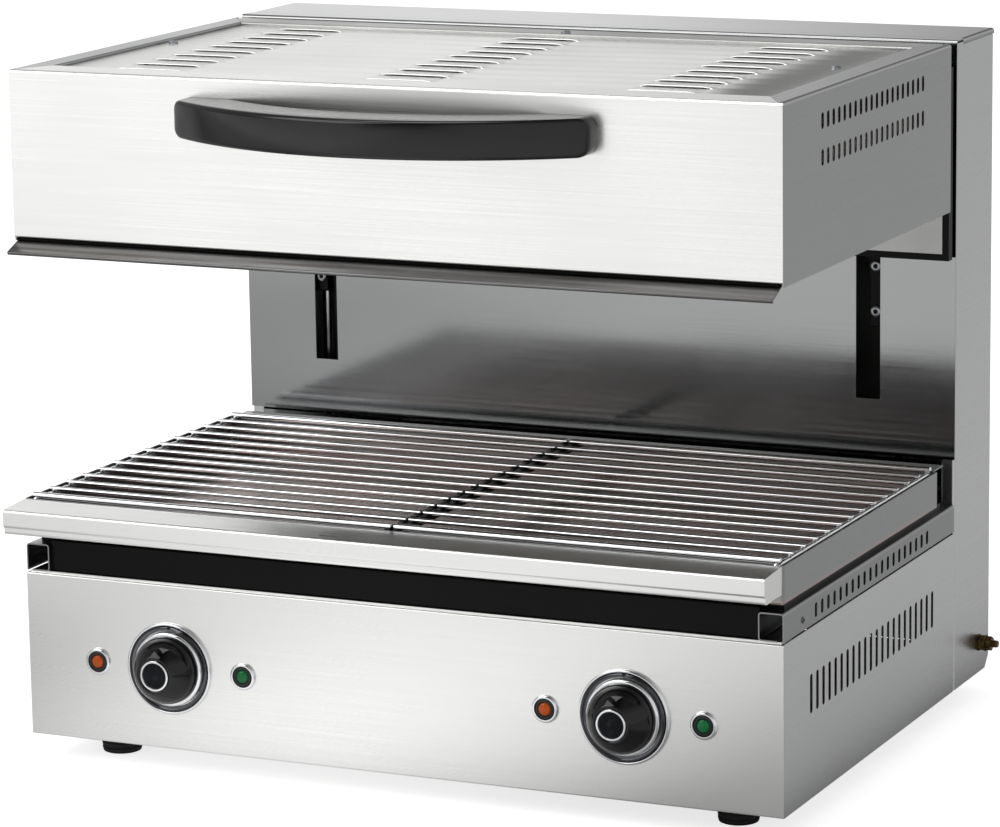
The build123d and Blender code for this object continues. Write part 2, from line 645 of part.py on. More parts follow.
def make_shaft(side, label):
    """Control shaft from the energy regulator into the knob."""
    with BuildPart() as shaft:
        with BuildSketch(front_plane(KNOB_FACE_Y + SHAFT_SEAT)):
            with Locations((side * KNOB_X, KNOB_Z)):
                Circle(SHAFT_R)
        extrude(amount=KNOB_FACE_Y + SHAFT_SEAT - SHAFT_END)
    shaft.part.label = label
    write_step(shaft.part)


SHAFT_END = 8.0
for side, word in ((-1, "left"), (1, "right")):
    make_knob(side, f"knob_{word}")
    make_knob_cap(side, f"knob_cap_{word}")
    make_shaft(side, f"knob_shaft_{word}")

REGULATOR_WIDTH, REGULATOR_HEIGHT, REGULATOR_DEPTH, REGULATOR_FOOT = 44.0, 40.0, 34.0, 3.0
BLADE_PITCH, BLADE_ROW, BLADE_THICK, BLADE_WIDTH, BLADE_LENGTH = 12.0, 14.0, 0.8, 6.3, 8.0
with BuildPart() as energy_regulators:
    for side in (-1, 1):
        with BuildSketch(front_plane(SHEET + REGULATOR_FOOT)):
            with Locations((side * KNOB_X, KNOB_Z)):
                RectangleRounded(REGULATOR_WIDTH, REGULATOR_HEIGHT, REGULATOR_FOOT)
        extrude(amount=-REGULATOR_DEPTH)
        with BuildSketch(front_plane(SHEET)):
            with Locations((side * KNOB_X, KNOB_Z)):
                Rectangle(REGULATOR_WIDTH - 12, BLADE_PITCH)
        extrude(amount=-REGULATOR_FOOT)
        with BuildSketch(front_plane(SHEET)):
            with Locations((side * KNOB_X, KNOB_Z)):
                Circle(SHAFT_R + 0.05)
        extrude(amount=-(SHAFT_END + 0.5), mode=Mode.SUBTRACT)
        with BuildSketch(front_plane(SHEET + REGULATOR_FOOT + REGULATOR_DEPTH)):
            with Locations((side * KNOB_X, KNOB_Z)):
                with GridLocations(BLADE_PITCH, BLADE_ROW, 3, 2):
                    Rectangle(BLADE_THICK, BLADE_WIDTH)
        extrude(amount=-BLADE_LENGTH)
energy_regulators.part.label = "energy_regulators"
write_step(energy_regulators.part)

LAMP_POINTS = [(x, LAMP_Z) for x in (-LAMP_OUTER_X, -LAMP_INNER_X, LAMP_INNER_X, LAMP_OUTER_X)]
LAMP_RIM, LAMP_RIM_ROUND, LENS_FRONT, LENS_ROUND = 2.2, 1.0, 3.2, 2.2
with BuildPart() as lamp_bezels:
    with BuildSketch(front_plane(0)):
        with Locations(*LAMP_POINTS):
            Circle(LAMP_R)
            Circle(LENS_R, mode=Mode.SUBTRACT)
    extrude(amount=LAMP_RIM)
    rims = lamp_bezels.edges().group_by(Axis.Y)[0].filter_by(lambda e: e.radius > LENS_R + 1)
    fillet(rims, radius=LAMP_RIM_ROUND)
    with BuildSketch(front_plane(0)):
        with Locations(*LAMP_POINTS):
            Circle(LAMP_BODY_R)
            Circle(LENS_R, mode=Mode.SUBTRACT)
    extrude(amount=-LAMP_BODY)
lamp_bezels.part.label = "lamp_bezels"
write_step(lamp_bezels.part)


def make_lenses(points, label):
    """Domed indicator lenses with their bodies behind the panel."""
    with BuildPart() as lenses:
        with BuildSketch(front_plane(-LENS_FRONT)):
            with Locations(*points):
                Circle(LENS_R)
        extrude(amount=-LENS_BODY)
        fillet(lenses.edges().group_by(Axis.Y)[0], radius=LENS_ROUND)
    lenses.part.label = label
    write_step(lenses.part)


make_lenses([(-LAMP_OUTER_X, LAMP_Z), (LAMP_INNER_X, LAMP_Z)], "amber_lenses")
make_lenses([(-LAMP_INNER_X, LAMP_Z), (LAMP_OUTER_X, LAMP_Z)], "green_lenses")

TERMINAL_X, TERMINAL_Y = -205.0, 330.0
TERMINAL_LENGTH, TERMINAL_WIDTH, TERMINAL_HEIGHT = 60.0, 24.0, 20.0
TERMINAL_PITCH, TERMINAL_ROW, TERMINAL_HOLE_R, TERMINAL_HOLE_DEPTH = 11.0, 12.0, 2.6, 9.0
with BuildPart() as terminal_block:
    with BuildSketch(level_plane(BASE_BOTTOM + SHEET)):
        with Locations((TERMINAL_X, TERMINAL_Y)):
            Rectangle(TERMINAL_LENGTH, TERMINAL_WIDTH)
    extrude(amount=TERMINAL_HEIGHT)
    with BuildSketch(level_plane(BASE_BOTTOM + SHEET + TERMINAL_HEIGHT)):
        with Locations((TERMINAL_X, TERMINAL_Y)):
            with GridLocations(TERMINAL_PITCH, TERMINAL_ROW, 5, 2):
                Circle(TERMINAL_HOLE_R)
    extrude(amount=-TERMINAL_HOLE_DEPTH, mode=Mode.SUBTRACT)
terminal_block.part.label = "terminal_block"
write_step(terminal_block.part)

with BuildPart() as cable_gland:
    with BuildSketch(front_plane(COLUMN_REAR)):
        with Locations((GLAND_X, GLAND_Z)):
            RegularPolygon(GLAND_HEX_R, 6)
    extrude(amount=-GLAND_HEX)
    with BuildSketch(front_plane(COLUMN_REAR + GLAND_HEX)):
        with Locations((GLAND_X, GLAND_Z)):
            Circle(GLAND_CAP_R)
    extrude(amount=-(GLAND_REACH - GLAND_HEX))
    fillet(cable_gland.edges().group_by(Axis.Y)[-1], radius=GLAND_CAP_ROUND)
    with BuildSketch(front_plane(COLUMN_REAR - GLAND_INSIDE)):
        with Locations((GLAND_X, GLAND_Z)):
            Circle(GLAND_THREAD_R)
    extrude(amount=-GLAND_INSIDE)
    with BuildSketch(front_plane(COLUMN_REAR - 2 * SHEET - GLAND_NUT)):
        with Locations((GLAND_X, GLAND_Z)):
            RegularPolygon(GLAND_NUT_R, 6)
    extrude(amount=-GLAND_NUT)
    with BuildSketch(front_plane(COLUMN_REAR - GLAND_INSIDE)):
        with Locations((GLAND_X, GLAND_Z)):
            Circle(GLAND_BORE_R)
    extrude(amount=-(GLAND_REACH + GLAND_INSIDE), mode=Mode.SUBTRACT)
cable_gland.part.label = "cable_gland"
write_step(cable_gland.part)

# of each nut its inner face, its thickness and the radius of its corners
EARTH_NUTS = ((HALF - 7, 5, 5.8), (HALF + 1, 4.5, 6.2), (HALF + 6.5, 4.5, 5.8))
EARTH_WASHER_R, EARTH_WASHER = 6.6, 1.0
with BuildPart() as earth_stud:
    with BuildSketch(side_plane(HALF - 10)):
        with Locations((STUD_Y, STUD_Z)):
            Circle(STUD_R)
    extrude(amount=STUD_REACH + 10)
    chamfer(earth_stud.edges().group_by(Axis.X)[-1], length=0.6)
    for nut_x, nut_thick, nut_r in EARTH_NUTS:
        with BuildSketch(side_plane(nut_x)):
            with Locations((STUD_Y, STUD_Z)):
                RegularPolygon(nut_r, 6)
        extrude(amount=nut_thick)
    for washer_x in (HALF, HALF + 5.5):
        with BuildSketch(side_plane(washer_x)):
            with Locations((STUD_Y, STUD_Z)):
                Circle(EARTH_WASHER_R)
        extrude(amount=EARTH_WASHER)
earth_stud.part.label = "earth_stud"
write_step(earth_stud.part)

# ---------------------------------------------------------------- tray and racks
TRAY_WALL = 1.0
TRAY_HEM = 23.0
with BuildPart() as tray_pan:
    with BuildSketch(level_plane(TRAY_BOTTOM)):
        with Locations((0, TRAY_DEPTH / 2)):
            Rectangle(WIDTH, TRAY_DEPTH)
    extrude(amount=TRAY_TOP - TRAY_BOTTOM)
    fillet(tray_pan.edges().filter_by(Axis.Z), radius=3)
    fillet(tray_pan.edges().group_by(Axis.Z)[0], radius=2.5)
    offset(amount=-TRAY_WALL, openings=tray_pan.faces().sort_by(Axis.Z)[-1])
    with BuildSketch(level_plane(TRAY_TOP - TRAY_WALL)):
        with Locations((0, TRAY_DEPTH - TRAY_WALL / 2)):
            Rectangle(WIDTH - 8, TRAY_HEM, align=(Align.CENTER, Align.MIN))
    extrude(amount=TRAY_WALL)
tray_pan.part.label = "tray_pan"
write_step(tray_pan.part)

LIP_FRONT, LIP_HALF = -33.0, HALF - 1.0
LIP_LINE = [
    (-SHEET / 2, 186.0),
    (-SHEET / 2, TRAY_TOP - SHEET / 2),
    (LIP_FRONT + SHEET / 2, 196.6),
    (LIP_FRONT + SHEET / 2, 185.2),
    (LIP_FRONT + 2.2, 183.8),
    (LIP_FRONT + 2.2, 179.0),
    (LIP_FRONT + 13.0, 179.0),
]
NOTCH_X, NOTCH_Y, NOTCH_LENGTH, NOTCH_WIDTH = -36.0, -23.0, 16.0, 5.0
with BuildPart() as tray_lip:
    with BuildSketch(side_plane(-LIP_HALF)):
        with BuildLine():
            FilletPolyline(*LIP_LINE, radius=[1.2, 1.6, 0.7, 0.7, 1.6])
        trace(line_width=SHEET)
    extrude(amount=2 * LIP_HALF)
    for cap_x in (-LIP_HALF, LIP_HALF - SHEET):
        with BuildSketch(side_plane(cap_x)):
            with BuildLine():
                Polyline(*LIP_LINE[1:], (-SHEET / 2, 179.0), close=True)
            make_face()
        extrude(amount=SHEET)
    with BuildSketch(level_plane(TRAY_BOTTOM)):
        with Locations((NOTCH_X, NOTCH_Y)):
            SlotOverall(NOTCH_LENGTH, NOTCH_WIDTH)
    extrude(amount=TRAY_TOP - TRAY_BOTTOM + 2, mode=Mode.SUBTRACT)
tray_lip.part.label = "tray_lip"
write_step(tray_lip.part)

LEDGE_TOP, LEDGE_WIDTH, LEDGE_WEB, LEDGE_END = 193.8, 8.0, 10.0, 4.0
with BuildPart() as rack_ledges:
    for wall_y, inward in ((TRAY_WALL, 1), (TRAY_DEPTH - TRAY_WALL, -1)):
        with BuildSketch(side_plane(-HALF + LEDGE_END)):
            with BuildLine():
                Polyline(
                    (wall_y, LEDGE_TOP - LEDGE_WEB),
                    (wall_y, LEDGE_TOP),
                    (wall_y + inward * LEDGE_WIDTH, LEDGE_TOP),
                    (wall_y + inward * LEDGE_WIDTH, LEDGE_TOP - SHEET),
                    (wall_y + inward * SHEET, LEDGE_TOP - SHEET),
                    (wall_y + inward * SHEET, LEDGE_TOP - LEDGE_WEB),
                    close=True,
                )
            make_face()
        extrude(amount=WIDTH - 2 * LEDGE_END)
rack_ledges.part.label = "rack_ledges"
write_step(rack_ledges.part)

RACK_PITCH = (RACK_LAST_Y - RACK_FIRST_Y) / (RACK_RODS - 1)
RACK_BAR_HEIGHT = RACK_ROD_Z - RACK_ROD_R + 0.4 - RACK_BAR_BOTTOM
RACK_END = 3.5              # how far the bar and the side wire run past the end rods


def make_rack(side, label):
    """Wire rack: rods across, welded on a flat bar inside and a side wire outside."""
    with BuildPart() as rack:
        inner, outer = side * RACK_INNER_X, side * RACK_OUTER_X
        with BuildSketch(side_plane(inner)):
            for rod in range(1, RACK_RODS - 1):
                with Locations((RACK_FIRST_Y + rod * RACK_PITCH, RACK_ROD_Z)):
                    Circle(RACK_ROD_R)
            with Locations((RACK_FIRST_Y, RACK_ROD_Z), (RACK_LAST_Y, RACK_ROD_Z)):
                Circle(RACK_WIRE_R)
        extrude(amount=outer - inner)
        with BuildSketch(front_plane(RACK_FIRST_Y - RACK_END)):
            with Locations((inner + side * RACK_BAR_WIDTH / 2, RACK_BAR_BOTTOM)):
                Rectangle(RACK_BAR_WIDTH, RACK_BAR_HEIGHT, align=(Align.CENTER, Align.MIN))
            with Locations((outer - side * (RACK_WIRE_R + 0.5), RACK_WIRE_Z)):
                Circle(RACK_WIRE_R)
        extrude(amount=-(RACK_LAST_Y - RACK_FIRST_Y + 2 * RACK_END - 1))
    rack.part.label = label
    write_step(rack.part)


make_rack(-1, "rack_left")
make_rack(1, "rack_right")

# ---------------------------------------------------------------- head casing
MITRE_X = HALF - 2 * BEND       # where the mitred corners of the rim start, at the folds

with BuildPart() as head_front_panel:
    with BuildSketch(side_plane(-HALF)):
        with BuildLine():
            FilletPolyline(
                (14, HEAD_BOTTOM + SHEET / 2),
                (SHEET / 2, HEAD_BOTTOM + SHEET / 2),
                (SHEET / 2, HEAD_TOP - SHEET / 2),
                (TOP_FLANGE - SHEET / 2, HEAD_TOP - SHEET / 2),
                (TOP_FLANGE - SHEET / 2, COVER_TOP),
                radius=[1.0, BEND, 1.0],
            )
        trace(line_width=SHEET)
    extrude(amount=WIDTH)
    for side in (-1, 1):
        with BuildSketch(level_plane(COVER_TOP - 2)):
            with BuildLine():
                Polyline(
                    (side * (HALF + 1), SHEET + FIT),
                    (side * (HALF + 1), TOP_FLANGE + 1),
                    (side * (HALF - SIDE_FLANGE), TOP_FLANGE + 1),
                    (side * (HALF - SIDE_FLANGE), TOP_FLANGE),
                    (side * MITRE_X, SHEET + FIT),
                    close=True,
                )
            make_face()
        extrude(amount=CUT_THROUGH, mode=Mode.SUBTRACT)
        with BuildSketch(level_plane(HEAD_BOTTOM - 1)):
            with Locations((side * HALF, SHEET + FIT)):
                Rectangle(2 * SHEET + 2 * FIT, 20, align=(Align.CENTER, Align.MIN))
        extrude(amount=COVER_TOP - HEAD_BOTTOM, mode=Mode.SUBTRACT)
    with BuildSketch(front_plane(-1)):
        with Locations(*HANDLE_SCREWS):
            Circle(HANDLE_SCREW_R + 0.2)
    extrude(amount=-CUT_THROUGH, mode=Mode.SUBTRACT)
head_front_panel.part.label = "head_front_panel"
write_step(head_front_panel.part)

HEAD_SLOTS, HEAD_SLOT_FIRST, HEAD_SLOT_PITCH = 20, 77.0, 11.03
HEAD_SLOT_ROWS, HEAD_SLOT_LENGTH = (496.2, 470.7), 11.6


with BuildPart() as head_sides:
    for side in (-1, 1):
        with BuildSketch(front_plane(SHEET + FIT)):
            with BuildLine():
                FilletPolyline(
                    (side * (HALF - SHEET / 2), HEAD_SIDE_BOTTOM),
                    (side * (HALF - SHEET / 2), HEAD_TOP - SHEET / 2),
                    (side * (HALF - SIDE_FLANGE + SHEET / 2), HEAD_TOP - SHEET / 2),
                    (side * (HALF - SIDE_FLANGE + SHEET / 2), COVER_TOP),
                    radius=[BEND, 1.0],
                )
            trace(line_width=SHEET)
        extrude(amount=-(HEAD_REAR - SHEET - FIT))
    # both ends of the flanges are mitred to meet the front and the rear of the rim
    for corner_y, outer_y, inner_y in (
        (0, SHEET + 2 * FIT, TOP_FLANGE + FIT),
        (HEAD_REAR, HEAD_REAR - 2 * BEND, HEAD_REAR - REAR_RIM - FIT),
    ):
        with BuildSketch(level_plane(COVER_TOP - 2)):
            for side in (-1, 1):
                with BuildLine():
                    Polyline(
                        (side * MITRE_X, corner_y),
                        (side * MITRE_X, outer_y),
                        (side * (HALF - SIDE_FLANGE), inner_y),
                        (side * (HALF - SIDE_FLANGE - 2), inner_y),
                        (side * (HALF - SIDE_FLANGE - 2), corner_y),
                        close=True,
                    )
                make_face()
        extrude(amount=CUT_THROUGH, mode=Mode.SUBTRACT)
    middle_y = HEAD_SLOT_FIRST + HEAD_SLOT_PITCH * (HEAD_SLOTS - 1) / 2
    for side in (-1, 1):
        with BuildSketch(side_plane(side * (HALF - SHEET / 2))):
            for row_z in HEAD_SLOT_ROWS:
                with Locations((middle_y, row_z)):
                    with GridLocations(HEAD_SLOT_PITCH, 1, HEAD_SLOTS, 1):
                        SlotOverall(HEAD_SLOT_LENGTH, SLOT_GAUGE, rotation=90)
        extrude(amount=SHEET, both=True, mode=Mode.SUBTRACT)
head_sides.part.label = "head_sides"
write_step(head_sides.part)

BACK_WALL_BOTTOM, BACK_WALL_HALF, ARM_BOLT_R = 360.0, 294.0, 3.2
with BuildPart() as head_back_wall:
    with BuildSketch(side_plane(-BACK_WALL_HALF)):
        with BuildLine():
            FilletPolyline(
                (HEAD_REAR - SHEET / 2, BACK_WALL_BOTTOM),
                (HEAD_REAR - SHEET / 2, HEAD_TOP - SHEET / 2),
                (HEAD_REAR - REAR_RIM + SHEET / 2, HEAD_TOP - SHEET / 2),
                (HEAD_REAR - REAR_RIM + SHEET / 2, COVER_TOP),
                radius=[BEND, 1.0],
            )
        trace(line_width=SHEET)
    extrude(amount=2 * BACK_WALL_HALF)
    for side in (-1, 1):
        with BuildSketch(level_plane(COVER_TOP - 2)):
            with BuildLine():
                Polyline(
                    (side * MITRE_X, HEAD_REAR + 1),
                    (side * MITRE_X, HEAD_REAR - 2 * BEND + FIT),
                    (side * (HALF - SIDE_FLANGE), HEAD_REAR - REAR_RIM),
                    (side * (HALF - SIDE_FLANGE), HEAD_REAR - REAR_RIM - 2),
                    (side * (HALF + 1), HEAD_REAR - REAR_RIM - 2),
                    (side * (HALF + 1), HEAD_REAR + 1),
                    close=True,
                )
            make_face()
        extrude(amount=CUT_THROUGH, mode=Mode.SUBTRACT)
    for foot_x in (-SLOT_X, SLOT_X):
        with BuildSketch(front_plane(HEAD_REAR - 3)):
            with Locations((foot_x, ARM_BOTTOM + 10), (foot_x, ARM_TOP - 10)):
                Circle(ARM_BOLT_R)
        extrude(amount=-CUT_THROUGH, mode=Mode.SUBTRACT)
head_back_wall.part.label = "head_back_wall"
write_step(head_back_wall.part)

LOUVRE_ROWS, LOUVRE_FIRST_Y, LOUVRE_PITCH = 10, 44.0, 28.7
LOUVRE_LENGTH, LOUVRE_DEPTH, LOUVRE_RISE = 57.0, 8.0, 1.4
LOUVRE_SHEET, LOUVRE_LAP = 0.9, 3.0   # the lap is where a louvre joins the flat sheet
LOUVRE_CENTRES = (-208.0, -8.0, 193.0)
COVER_LAP = 9.0             # the cover reaches this far under the rim
with BuildPart() as head_top_cover:
    with BuildSketch(level_plane(COVER_TOP)):
        with Locations((0, (TOP_FLANGE + HEAD_REAR - REAR_RIM) / 2)):
            Rectangle(
                WIDTH - 2 * SIDE_FLANGE + 2 * COVER_LAP,
                HEAD_REAR - REAR_RIM - TOP_FLANGE + 2 * COVER_LAP,
            )
    extrude(amount=-SHEET)
    for centre_x in LOUVRE_CENTRES:
        left_x = centre_x - LOUVRE_LENGTH / 2
        with BuildSketch(side_plane(left_x)):
            for row in range(LOUVRE_ROWS):
                y = LOUVRE_FIRST_Y + row * LOUVRE_PITCH
                with BuildLine():
                    Polyline(
                        (y, COVER_TOP - SHEET - 1),
                        (y, COVER_TOP + LOUVRE_RISE - LOUVRE_SHEET),
                        (y + LOUVRE_DEPTH - LOUVRE_LAP, COVER_TOP),
                        (y + LOUVRE_DEPTH - LOUVRE_LAP, COVER_TOP - SHEET - 1),
                        close=True,
                    )
                make_face()
        extrude(amount=LOUVRE_LENGTH, mode=Mode.SUBTRACT)
        with BuildSketch(side_plane(left_x)):
            for row in range(LOUVRE_ROWS):
                y = LOUVRE_FIRST_Y + row * LOUVRE_PITCH
                with BuildLine():
                    Polyline(
                        (y, COVER_TOP + LOUVRE_RISE - LOUVRE_SHEET),
                        (y, COVER_TOP + LOUVRE_RISE),
                        (y + LOUVRE_DEPTH, COVER_TOP),
                        (y + LOUVRE_DEPTH, COVER_TOP - SHEET),
                        (y + LOUVRE_DEPTH - LOUVRE_LAP, COVER_TOP - SHEET),
                        (y + LOUVRE_DEPTH - LOUVRE_LAP, COVER_TOP),
                        close=True,
                    )
                make_face()
        extrude(amount=LOUVRE_LENGTH)
        for end_x in (left_x - SHEET / 2, left_x + LOUVRE_LENGTH - SHEET / 2):
            with BuildSketch(side_plane(end_x)):
                for row in range(LOUVRE_ROWS):
                    y = LOUVRE_FIRST_Y + row * LOUVRE_PITCH
                    with BuildLine():
                        Polyline(
                            (y, COVER_TOP - SHEET),
                            (y, COVER_TOP + LOUVRE_RISE),
                            (y + LOUVRE_DEPTH, COVER_TOP),
                            (y + LOUVRE_DEPTH, COVER_TOP - SHEET),
                            close=True,
                        )
                    make_face()
            extrude(amount=SHEET)
head_top_cover.part.label = "head_top_cover"
write_step(head_top_cover.part)

LIP_TIP_Y, LIP_TIP_Z = -14.5, 385.5
with BuildPart() as head_front_lip:
    with BuildSketch(side_plane(-HALF + 2)):
        with BuildLine():
            FilletPolyline(
                (22, HEAD_BOTTOM - SHEET / 2),
                (7, HEAD_BOTTOM - SHEET / 2),
                (LIP_TIP_Y, LIP_TIP_Z),
                (LIP_TIP_Y + 1.6, LIP_TIP_Z - 1.4),
                radius=[3, 0.7],
            )
        trace(line_width=SHEET)
    extrude(amount=WIDTH - 4)
head_front_lip.part.label = "head_front_lip"
write_step(head_front_lip.part)

# ---------------------------------------------------------------- handle
with BuildPart() as handle:
    front_centre = HANDLE_FRONT_R - HANDLE_REACH
    rear_centre = HANDLE_REAR_R - (HANDLE_REACH - HANDLE_THICK)
    end_y = front_centre - sqrt(HANDLE_FRONT_R**2 - HANDLE_HALF**2)
    pad_x = sqrt(HANDLE_REAR_R**2 - rear_centre**2)
    with BuildSketch(Plane(origin=(HANDLE_X, 0, HANDLE_BOTTOM))):
        with BuildLine():
            Line((pad_x, 0), (HANDLE_HALF, 0))
            Line((HANDLE_HALF, 0), (HANDLE_HALF, end_y))
            ThreePointArc((HANDLE_HALF, end_y), (0, -HANDLE_REACH), (-HANDLE_HALF, end_y))
            Line((-HANDLE_HALF, end_y), (-HANDLE_HALF, 0))
            Line((-HANDLE_HALF, 0), (-pad_x, 0))
            ThreePointArc((-pad_x, 0), (0, HANDLE_THICK - HANDLE_REACH), (pad_x, 0))
        make_face()
    extrude(amount=HANDLE_TOP - HANDLE_BOTTOM)
    front_corners = handle.edges().filter_by(Axis.Z).filter_by(lambda e: e.center().Y < -1)
    fillet(front_corners, radius=HANDLE_CORNER_R)
    # seen from the front its ends are rounded too
    middle_z = (HANDLE_TOP + HANDLE_BOTTOM) / 2
    with BuildSketch(front_plane(0)):
        with Locations((HANDLE_X, middle_z)):
            RectangleRounded(2 * HANDLE_HALF, HANDLE_TOP - HANDLE_BOTTOM, HANDLE_END_R)
    extrude(amount=HANDLE_REACH + 1, mode=Mode.INTERSECT)
    free_edges = handle.edges().filter_by(lambda e: e.center().Y < -1)
    fillet(free_edges.filter_by(lambda e: abs(e.center().Z - middle_z) > 1), radius=HANDLE_EDGE_R)
    with BuildSketch(front_plane(0)):
        with Locations(*HANDLE_SCREWS):
            Circle(HANDLE_SCREW_R)
    extrude(amount=HANDLE_SCREW_GRIP + 1, mode=Mode.SUBTRACT)
handle.part.label = "handle"
write_step(handle.part)

COVER_SCREWS = [(-272.0, 198.0, COVER_TOP), (263.0, 205.0, COVER_TOP), (-2.0, 328.0, HEAD_TOP)]
with BuildPart() as head_screws:
    for screw_x, screw_y, screw_z in COVER_SCREWS:
        with BuildSketch(level_plane(screw_z)):
            with Locations((screw_x, screw_y)):
                Circle(SCREW_HEAD_R)
        extrude(amount=SCREW_HEAD_HEIGHT)
    tops = head_screws.edges().filter_by(GeomType.CIRCLE).group_by(Axis.Z)[-1]
    fillet(tops, radius=SCREW_HEAD_ROUND)
    with BuildSketch(front_plane(-HANDLE_SCREW_GRIP)):
        with Locations(*HANDLE_SCREWS):
            Circle(HANDLE_SCREW_R)
    extrude(amount=-(HANDLE_SCREW_GRIP + 2))
    with BuildSketch(front_plane(SHEET)):
        with Locations(*HANDLE_SCREWS):
            Circle(HANDLE_NUT_R)
    extrude(amount=-HANDLE_NUT)
head_screws.part.label = "head_screws"
write_step(head_screws.part)

# ---------------------------------------------------------------- heating zones
REFLECTOR_Z, REFLECTOR_DEPTH = 446.0, 26.0
ELEMENT_Z, ELEMENT_R = 430.0, 4.0
LEG_FIRST_X, LEG_PITCH, LEGS = 34.0, 45.6, 6
LEG_FRONT_Y, LEG_REAR_Y, LEG_END_Y = 55.0, 288.0, 345.0
LEG_LAST_X = LEG_FIRST_X + LEG_PITCH * (LEGS - 1)
LEG_ENDS = [(side * x, ELEMENT_Z) for side in (-1, 1) for x in (LEG_FIRST_X, LEG_LAST_X)]

with BuildPart() as reflector:
    with BuildSketch(side_plane(-HALF + 8)):
        with BuildLine():
            FilletPolyline(
                (8, REFLECTOR_Z - REFLECTOR_DEPTH),
                (16, REFLECTOR_Z),
                (332, REFLECTOR_Z),
                (340, REFLECTOR_Z - REFLECTOR_DEPTH),
                radius=3,
            )
        trace(line_width=SHEET)
    extrude(amount=WIDTH - 16)
    # the cold ends of the heaters leave through the rear flank
    with BuildSketch(front_plane(LEG_END_Y)):
        with Locations(*LEG_ENDS):
            Circle(ELEMENT_R + 1)
    extrude(amount=LEG_END_Y - LEG_REAR_Y, mode=Mode.SUBTRACT)
reflector.part.label = "reflector"
write_step(reflector.part)

INSULATION_Y, INSULATION_DEPTH, INSULATION_THICK = 174.0, 310.0, 22.0
with BuildPart() as insulation:
    with BuildSketch(level_plane(REFLECTOR_Z + SHEET)):
        with Locations((0, INSULATION_Y)):
            Rectangle(WIDTH - 24, INSULATION_DEPTH)
    extrude(amount=INSULATION_THICK)
insulation.part.label = "insulation"
write_step(insulation.part)

# tubular heaters, one bent to and fro under each half of the reflector
with BuildPart() as heating_elements:
    for side in (-1, 1):
        with BuildLine(level_plane(ELEMENT_Z)):
            start = (side * LEG_FIRST_X, LEG_END_Y)
            for leg in range(LEGS - 1):
                leg_x = side * (LEG_FIRST_X + LEG_PITCH * leg)
                next_x = leg_x + side * LEG_PITCH
                turn_y, reach = (LEG_REAR_Y, 1) if leg % 2 else (LEG_FRONT_Y, -1)
                bend = ((leg_x + next_x) / 2, turn_y + reach * LEG_PITCH / 2)
                Line(start, (leg_x, turn_y))
                ThreePointArc((leg_x, turn_y), bend, (next_x, turn_y))
                start = (next_x, turn_y)
            Line(start, (start[0], LEG_END_Y))
        with BuildSketch(front_plane(LEG_END_Y)):
            with Locations((side * LEG_FIRST_X, ELEMENT_Z)):
                Circle(ELEMENT_R)
        sweep()
heating_elements.part.label = "heating_elements"
write_step(heating_elements.part)

SUPPORT_X, SUPPORT_YS = 149.0, (105.0, 235.0)
SUPPORT_LENGTH, SUPPORT_WIDTH, SUPPORT_THICK = 268.0, 12.0, 2.0
HANGER_XS, HANGER_R = (57.0, 240.0), 3.0
with BuildPart() as element_supports:
    support_z = ELEMENT_Z + ELEMENT_R
    for support_y in SUPPORT_YS:
        for side in (-1, 1):
            with BuildSketch(level_plane(support_z)):
                with Locations((side * SUPPORT_X, support_y)):
                    Rectangle(SUPPORT_LENGTH, SUPPORT_WIDTH)
            extrude(amount=SUPPORT_THICK)
            with BuildSketch(level_plane(support_z)):
                with Locations(*[(side * hanger_x, support_y) for hanger_x in HANGER_XS]):
                    Circle(HANGER_R)
            extrude(amount=REFLECTOR_Z - SHEET / 2 - support_z)
element_supports.part.label = "element_supports"
write_step(element_supports.part)

HEAD_BLOCK_Y, HEAD_BLOCK_LENGTH, HEAD_BLOCK_WIDTH, HEAD_BLOCK_HEIGHT = 290.0, 90.0, 26.0, 20.0
HEAD_BLOCK_PITCH, HEAD_BLOCK_HOLE_R, HEAD_BLOCK_HOLE = 18.0, 3.0, 8.0
HEAD_BLOCK_TOP = REFLECTOR_Z + SHEET + INSULATION_THICK + HEAD_BLOCK_HEIGHT
with BuildPart() as head_terminal_block:
    with BuildSketch(level_plane(HEAD_BLOCK_TOP - HEAD_BLOCK_HEIGHT)):
        with Locations((0, HEAD_BLOCK_Y)):
            Rectangle(HEAD_BLOCK_LENGTH, HEAD_BLOCK_WIDTH)
    extrude(amount=HEAD_BLOCK_HEIGHT)
    with BuildSketch(level_plane(HEAD_BLOCK_TOP)):
        with Locations((0, HEAD_BLOCK_Y)):
            with GridLocations(HEAD_BLOCK_PITCH, TERMINAL_ROW, 4, 2):
                Circle(HEAD_BLOCK_HOLE_R)
    extrude(amount=-HEAD_BLOCK_HOLE, mode=Mode.SUBTRACT)
head_terminal_block.part.label = "head_terminal_block"
write_step(head_terminal_block.part)

# ---------------------------------------------------------------- lift frame and carriages
FRAME_BOTTOM, FRAME_TOP, FRAME_HALF, FRAME_BAR = 354.7, 500.0, 298.9, 4.6
FRAME_DEPTH, FRAME_PLATE = 8.0, 2.0
with BuildPart() as lift_frame:
    frame_middle_z = (FRAME_BOTTOM + FRAME_TOP) / 2
    with BuildSketch(front_plane(HEAD_REAR)):
        with Locations((0, frame_middle_z)):
            Rectangle(2 * FRAME_HALF, FRAME_TOP - FRAME_BOTTOM)
    extrude(amount=-FRAME_DEPTH)
    with BuildSketch(front_plane(HEAD_REAR)):
        with Locations((0, frame_middle_z)):
            Rectangle(2 * FRAME_HALF - 2 * FRAME_BAR, FRAME_TOP - FRAME_BOTTOM - 2 * FRAME_BAR)
    extrude(amount=-(FRAME_DEPTH - FRAME_PLATE), mode=Mode.SUBTRACT)
lift_frame.part.label = "lift_frame"
write_step(lift_frame.part)

